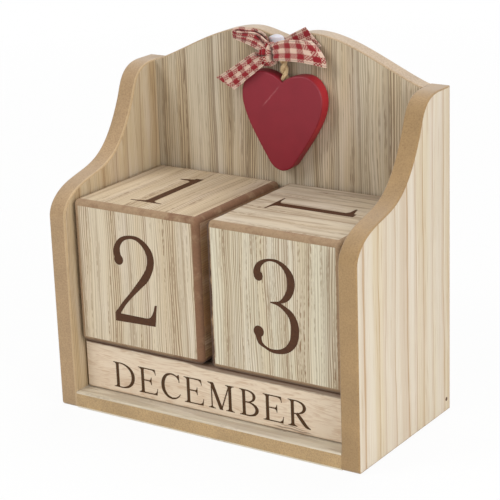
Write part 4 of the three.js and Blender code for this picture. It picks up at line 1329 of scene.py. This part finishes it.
def plates(text, signs, origin, right, up, height, gap, rise, sink=0.05):
    """A row of signs as thin closed plates: each flat shape twice, sunk and proud, with a wall between."""
    parts, across = [], 0
    right, up = np.array(right, float), np.array(up, float)
    out = np.cross(right, up)
    for sign in text:
        width, (points, inside, outline) = signs[sign]
        flat = origin + height * ((points[:, :1] + across) * right + points[:, 1:] * up)
        count = len(points)
        faces = (inside + count).tolist() + inside[:, ::-1].tolist()
        faces += np.hstack([outline, outline[:, ::-1] + count]).tolist()
        parts.append((np.concatenate([flat - sink * out, flat + rise * out]), faces))
        across += width + gap
    return joined(parts)


def row_width(text, signs, gap):
    """How wide a row of signs is, as a share of their height."""
    return sum(signs[sign][0] + gap for sign in text) - gap


# the ways right and up on each side, as seen from outside
LOOKS_OUT = {
    "front": ((1, 0, 0), (0, 0, 1)),
    "rear": ((-1, 0, 0), (0, 0, 1)),
    "left": ((0, -1, 0), (0, 0, 1)),
    "right": ((0, 1, 0), (0, 0, 1)),
    "top": ((1, 0, 0), (0, 1, 0)),
    "bottom": ((1, 0, 0), (0, -1, 0)),
}
# each side's number and where it starts, from the middle of its face: the rest stand in the middle
NUMBERS = {
    "left": {"front": ("2", (-12.3, -18.9)), "top": ("1", (-9.1, -21.2)), "left": ("0", None),
             "right": ("6", None), "rear": ("7", None), "bottom": ("8", None)},
    "right": {"front": ("3", (-7.8, -18.7)), "top": ("1", (-9.4, -19.8)), "left": ("4", None),
              "right": ("0", None), "rear": ("5", None), "bottom": ("2", None)},
}
# the number that lies on its side
TURNED = {("right", "top"): ((0, -1, 0), (1, 0, 0))}
MONTHS = {
    "front": ("DECEMBER", "SEPTEMBER", "OCTOBER", "NOVEMBER"),
    "middle": ("JANUARY", "FEBRUARY", "MARCH", "APRIL"),
    "rear": ("MAY", "JUNE", "JULY", "AUGUST"),
}
# the gap between letters, as a share of their height
LETTER_GAP = 0.17
# the word in front is printed a little aside and askew
WORD_STARTS = {"DECEMBER": (-51.2, -7.95)}
WORD_TILTS = {"DECEMBER": math.radians(0.29)}


def build_print(settings, ink, word_ink):
    """The numbers on the cubes and the month names on the bars."""
    signs = {sign: (width, inked(parts)) for sign, (width, parts) in glyphs().items()}
    rise, number, word = settings.rise / MM, settings.number / MM, settings.word / MM
    for hand, sides in NUMBERS.items():
        low, high = node_span(hand + "_cube_block")
        middle, half, parts = (low + high) / 2, (high - low)[0] / 2, []
        for side, (text, start) in sides.items():
            right, up = (np.array(way, float) for way in TURNED.get((hand, side), LOOKS_OUT[side]))
            start = start or (-signs[text][0] * number / 2, -number / 2)
            origin = middle + np.cross(right, up) * half + right * start[0] + up * start[1]
            parts.append(plates(text, signs, origin, right, up, number, 0, rise))
        make_piece(hand + "_cube_numbers", *joined(parts), ink, hand + "_cube", "paint")
    for place, words in MONTHS.items():
        low, high = node_span(place + "_month_bar")
        middle, half, parts = (low + high) / 2, (high - low) / 2, []
        for side, text in zip(("front", "top", "rear", "bottom"), words):
            right, up = (np.array(way, float) for way in LOOKS_OUT[side])
            right, up = tilted(right, up, -WORD_TILTS.get(text, 0))
            out = np.cross(right, up)
            wide = row_width(text, signs, LETTER_GAP) * word
            start = WORD_STARTS.get(text, (-wide / 2, -word / 2 - 1))
            origin = middle + out * np.abs(half @ np.abs(out)) + right * start[0] + up * start[1]
            parts.append(plates(text, signs, origin, right, up, word, LETTER_GAP, rise))
        make_piece(place + "_bar_month_names", *joined(parts), word_ink, place + "_bar", "paint")


# Stage

# each lamp's name, its place and size in metres, and its power in watts
LAMPS = (
    ("key_softbox", (-0.62, -0.75, 0.85), 0.5, 6.0),
    ("fill_softbox", (0.95, -0.25, 0.4), 0.7, 6.6),
    ("front_softbox", (0.15, -1.1, 0.35), 0.8, 1.9),
    ("top_softbox", (0.0, 0.38, 0.95), 0.5, 3.9),
)
# the surround's light, how white the floor is seen, and the point that the lamps face
AMBIENT = 0.33
FLOOR_GLOW = 0.93
AIM = (0, 0, 0.07)
# the camera's place in metres, and its angles in degrees
CAMERA_PLACE = (0.4028, -0.5973, 0.3040)
CAMERA_AZIMUTH = 33.94
CAMERA_ELEVATION = 17.93
CAMERA_ROLL = -2.05


@finish
def matt_floor(tree, pale):
    """Plain matt paint that the camera and reflections see nearly white, and that fades out far off."""
    diffuse = add(tree, "BsdfDiffuse", pale)
    glow = add(tree, "Emission", (1, 1, 1, 1), 1.0)
    rays = add(tree, "LightPath").outputs
    seen = add(tree, "Math MAXIMUM", rays["Is Camera Ray"], rays["Is Glossy Ray"])
    seen = add(tree, "Math MAXIMUM", seen, rays["Is Transmission Ray"])
    share = add(tree, "Math MULTIPLY", seen, FLOOR_GLOW)
    body = add(tree, "MixShader", share, diffuse, glow)
    place = add(tree, "TexCoord").outputs["Object"]
    far = add(tree, "VectorMath LENGTH", place)
    fade = add(tree, "ValToRGB", far, stops=((0.25, 0.0), (0.9, 1.0)))
    return add(tree, "MixShader", fade, body, add(tree, "BsdfTransparent"))


def build_floor(settings):
    """A round floor: rings of points about its middle."""
    radius, rings, sides = 1.2, 24, 96
    out = np.linspace(0.02, 1, rings)[:, None] * radius
    turn = full_turn(sides)[None, :]
    points = np.stack([out * np.cos(turn), out * np.sin(turn), 0 * out * turn], -1).reshape(-1, 3)
    faces = grid_faces(rings, sides, close_columns=True).tolist() + [list(range(sides))]
    mesh = new_mesh("floor", points, faces)
    mesh.materials.append(matt_floor("matt_white_floor", settings.floor))
    floor = put_in_scene("floor", mesh)
    floor.location.z = -0.2 * MM


def build_world(scene):
    """A white surround for the camera and for rays that pass through a piece, and a plain level of light for
    the rest."""
    world = bpy.data.worlds.new("studio")
    world.use_nodes = True
    tree = world.node_tree
    tree.nodes.clear()
    rays = add(tree, "LightPath").outputs
    seen = add(tree, "Math MAXIMUM", rays["Is Camera Ray"], rays["Is Transmission Ray"])
    ambient = add(tree, "Background", (1, 1, 1, 1), AMBIENT)
    white = add(tree, "Background", (1, 1, 1, 1), 1.0)
    add(tree, "OutputWorld", add(tree, "MixShader", seen, ambient, white))
    scene.world = world


def build_lamp(name, place, size, watts):
    """A square soft lamp that faces the calendar."""
    data = bpy.data.lights.new(name, "AREA")
    data.shape, data.size, data.energy = "SQUARE", size, watts
    lamp = put_in_scene(name, data)
    lamp.location = place
    lamp.rotation_euler = (Vector(AIM) - Vector(place)).to_track_quat("-Z", "Y").to_euler()


def build_camera(scene, lens):
    """The camera at the photograph's angle: turned about the vertical, tipped down, and rolled a little."""
    data = bpy.data.cameras.new("camera")
    data.lens, data.sensor_width = lens, 36
    data.clip_start, data.clip_end = 0.01, 20
    camera = put_in_scene("camera", data)
    turn = Matrix.Rotation(math.radians(CAMERA_AZIMUTH), 4, "Z")
    tip = Matrix.Rotation(math.radians(90 - CAMERA_ELEVATION), 4, "X")
    roll = Matrix.Rotation(math.radians(CAMERA_ROLL), 4, "Z")
    camera.matrix_world = Matrix.Translation(CAMERA_PLACE) @ turn @ tip @ roll
    scene.camera = camera


# Operators

class CALENDAR_OT_boards(Operator):
    """Build the side boards and the back, and finish the base"""

    bl_idname = "calendar.boards"
    bl_label = "Boards"

    def execute(self, context):
        settings = context.scene.calendar_boards
        streak, pore, dark = settings.streak, settings.pore, settings.fibre_dark
        materials = {
            "board": fibreboard("sanded_fibreboard", settings.fibre, dark),
            "right_board": fibreboard("sanded_fibreboard_right", settings.fibre_right, dark),
            "back_board": fibreboard("sanded_fibreboard_back", settings.fibre_back, dark),
            "base_board": fibreboard("sanded_fibreboard_base", settings.fibre_base, dark),
            "rim": fibreboard("sanded_veneer_rim", settings.rim, settings.fibre),
            "outer": limed_veneer(
                "limed_veneer_outside", settings.outer, settings.outer_streak, settings.outer_pore,
                (31, 7, 0), GRAIN_UP_ACROSS_Y, band=9.0, figure=0.5, lines=0.8, pores=0.45, spacing=1.1,
                dash=14.0, year=8.0, fine=0.6),
            "inner": limed_veneer(
                "limed_veneer_inside", settings.inner, streak, pore, (11, 3, 40), GRAIN_UP_ACROSS_Y,
                band=6.0, figure=0.5, lines=0.6, pores=0.7, spacing=1.0, dash=8.0, year=10.0),
            "panel": limed_veneer(
                "limed_veneer_back", settings.panel, streak, settings.panel_pore, (5, 60, 20),
                GRAIN_UP_ACROSS_X, band=9.0, lines=0.6, spacing=1.1, dash=7.0, year=11.0, fine=0.95),
            "rear": limed_veneer(
                "limed_veneer_rear", settings.outer, streak, pore, (57, 20, 0), GRAIN_UP_ACROSS_X,
                band=10.0, lines=0.6, pores=0.4, spacing=1.0, dash=12.0, year=14.0),
            "base": limed_veneer(
                "limed_veneer_base", settings.base, streak, pore, (5, 90, 0), GRAIN_WIDE, figure=0.2,
                lines=0.3, pores=0.5),
        }
        build_sides(settings, materials)
        build_back(settings, materials)
        finish_node("base_core", materials["base_board"])
        finish_node("base_top_veneer", materials["base"])
        finish_node("base_bottom_veneer", materials["base"])
        build_filled_hole(filled_hole("wood_filler"))
        return {"FINISHED"}


class CALENDAR_OT_cubes(Operator):
    """Build the blocks of the numbered cubes and finish their faces"""

    bl_idname = "calendar.cubes"
    bl_label = "Cubes"

    def execute(self, context):
        settings = context.scene.calendar_cubes
        boards = context.scene.calendar_boards
        turns = {
            "front": GRAIN_UP_ACROSS_X,
            "rear": GRAIN_UP_ACROSS_X,
            "left": GRAIN_UP_ACROSS_Y,
            "right": (90, 0, 90),
            "top": GRAIN_DEEP,
            "bottom": GRAIN_DEEP,
        }
        edge, patch, burn_and_shade = settings.edge, settings.edge_dark, settings.edge_painted_shade
        foot = node_span("left_cube_block")[0][2]
        materials = {
            # each cube's arrises are given painted shade towards the gap between the cubes and along the foot
            "left_edge": sanded_edge("sanded_left_cube_edge", edge, patch, patch, gap_shade_from=-30,
                                     gap_shade_to=-2, foot=foot, foot_shade=burn_and_shade),
            "right_edge": sanded_edge("sanded_right_cube_edge", edge, patch, burn_and_shade, gap_shade_from=5.5,
                                      gap_shade_to=3.5, foot=foot, foot_shade=burn_and_shade),
        }
        tints = {
            ("left", "top"): settings.warm_top,
            # painted shade on the left cube's side in the gap
            ("left", "right"): settings.shaded,
            ("right", "top"): settings.cool_top,
        }
        for hand, pale, seed in (("left", settings.warm, 0), ("right", settings.cool, 300)):
            for place, (side, turn) in enumerate(turns.items()):
                turn = GRAIN_WIDE if (hand, side) == ("right", "top") else turn
                shift = (seed + 41 * place, seed + 13 * place, 17 * place)
                tint = tints.get((hand, side), pale)
                materials[f"{hand}_{side}"] = limed_veneer(
                    f"limed_veneer_{hand}_cube_{side}", tint, boards.streak, settings.pore, shift, turn,
                    figure=0.2 if side in ("top", "bottom") else 0.3, lines=0.4, pores=1.0, fine=0.85,
                )
        build_cubes(materials)
        return {"FINISHED"}


class CALENDAR_OT_bars(Operator):
    """Finish the month bars"""

    bl_idname = "calendar.bars"
    bl_label = "Month bars"

    def execute(self, context):
        settings = context.scene.calendar_cubes
        for seed, place in enumerate(MONTHS):
            wood = planed_wood(f"planed_wood_{place}_bar", settings.bar, settings.bar_dark, settings.burn_and_shade,
                               (70 * seed, 30 * seed, 90 * seed), *node_span(f"{place}_month_bar"),
                               BAR_STREAKS if place == "front" else ())
            finish_node(f"{place}_month_bar", wood)
        return {"FINISHED"}


class CALENDAR_OT_lettering(Operator):
    """Put the numbers on the cubes and the month names on the bars"""

    bl_idname = "calendar.lettering"
    bl_label = "Lettering"

    def execute(self, context):
        settings = context.scene.calendar_print
        build_print(settings, printed_ink("printed_dark_brown", settings.ink),
                    printed_ink("printed_brown", settings.word_ink))
        return {"FINISHED"}


class CALENDAR_OT_heart(Operator):
    """Build the painted heart and its twine"""

    bl_idname = "calendar.heart"
    bl_label = "Heart and twine"

    def execute(self, context):
        settings = context.scene.calendar_heart
        front = node_span("heart_pendant")[0][1]
        materials = {
            "paint": satin_paint("satin_red_paint", settings.paint, settings.lit_rim_paint, front,
                                 (3.0, front, 137.4), (-6.9, front, 126.5)),
            "twine": jute("jute_twine", settings.twine, settings.twine_dark),
        }
        build_heart(settings, materials)
        build_twine(materials)
        return {"FINISHED"}


class CALENDAR_OT_bow(Operator):
    """Build the ribbon bow and the dab of glue that holds it"""

    bl_idname = "calendar.bow"
    bl_label = "Ribbon bow"

    def execute(self, context):
        settings = context.scene.calendar_ribbon
        half_width = settings.width / MM / 2
        materials = {
            "ribbon": woven_check("woven_cotton_check", settings.red, settings.cream, half_width, CREASE_SHADOWS),
            "glue": set_glue("set_glue", settings.glue),
        }
        build_bow(settings, materials)
        build_glue(materials)
        return {"FINISHED"}


class CALENDAR_OT_stage(Operator):
    """Set up the floor, the lamps and the camera"""

    bl_idname = "calendar.stage"
    bl_label = "Stage"

    def execute(self, context):
        settings = context.scene.calendar_stage
        scene = context.scene
        scene.view_settings.view_transform = "Standard"
        build_floor(settings)
        build_world(scene)
        for lamp in LAMPS:
            build_lamp(*lamp)
        build_camera(scene, settings.lens)
        return {"FINISHED"}


class CALENDAR_PT_panel(Panel):
    """Lists the calendar's pieces"""

    bl_label = "Desk calendar"
    bl_idname = "CALENDAR_PT_panel"
    bl_space_type = "VIEW_3D"
    bl_region_type = "UI"
    bl_category = "Calendar"

    def draw(self, context):
        for operator in OPERATORS:
            self.layout.operator(operator.bl_idname)
        for name in SETTINGS:
            box = self.layout.box()
            group = getattr(context.scene, name)
            for key in group.__annotations__:
                box.prop(group, key)


OPERATORS = (
    CALENDAR_OT_stage,
    CALENDAR_OT_boards,
    CALENDAR_OT_cubes,
    CALENDAR_OT_bars,
    CALENDAR_OT_lettering,
    CALENDAR_OT_heart,
    CALENDAR_OT_bow,
)
SETTINGS = {
    "calendar_boards": CalendarBoards,
    "calendar_cubes": CalendarCubes,
    "calendar_print": CalendarPrint,
    "calendar_heart": CalendarHeart,
    "calendar_ribbon": CalendarRibbon,
    "calendar_stage": CalendarStage,
}


def register():
    for group in SETTINGS.values():
        bpy.utils.register_class(group)
    for operator in OPERATORS:
        bpy.utils.register_class(operator)
    bpy.utils.register_class(CALENDAR_PT_panel)
    for name, group in SETTINGS.items():
        setattr(bpy.types.Scene, name, PointerProperty(type=group))


def unregister():
    for name in SETTINGS:
        delattr(bpy.types.Scene, name)
    bpy.utils.unregister_class(CALENDAR_PT_panel)
    for operator in reversed(OPERATORS):
        bpy.utils.unregister_class(operator)
    for group in reversed(SETTINGS.values()):
        bpy.utils.unregister_class(group)


def main():
    register()
    bpy.ops.calendar.stage()
    bpy.ops.calendar.boards()
    bpy.ops.calendar.cubes()
    bpy.ops.calendar.bars()
    bpy.ops.calendar.lettering()
    bpy.ops.calendar.heart()
    bpy.ops.calendar.bow()


if __name__ == "__main__":
    main()
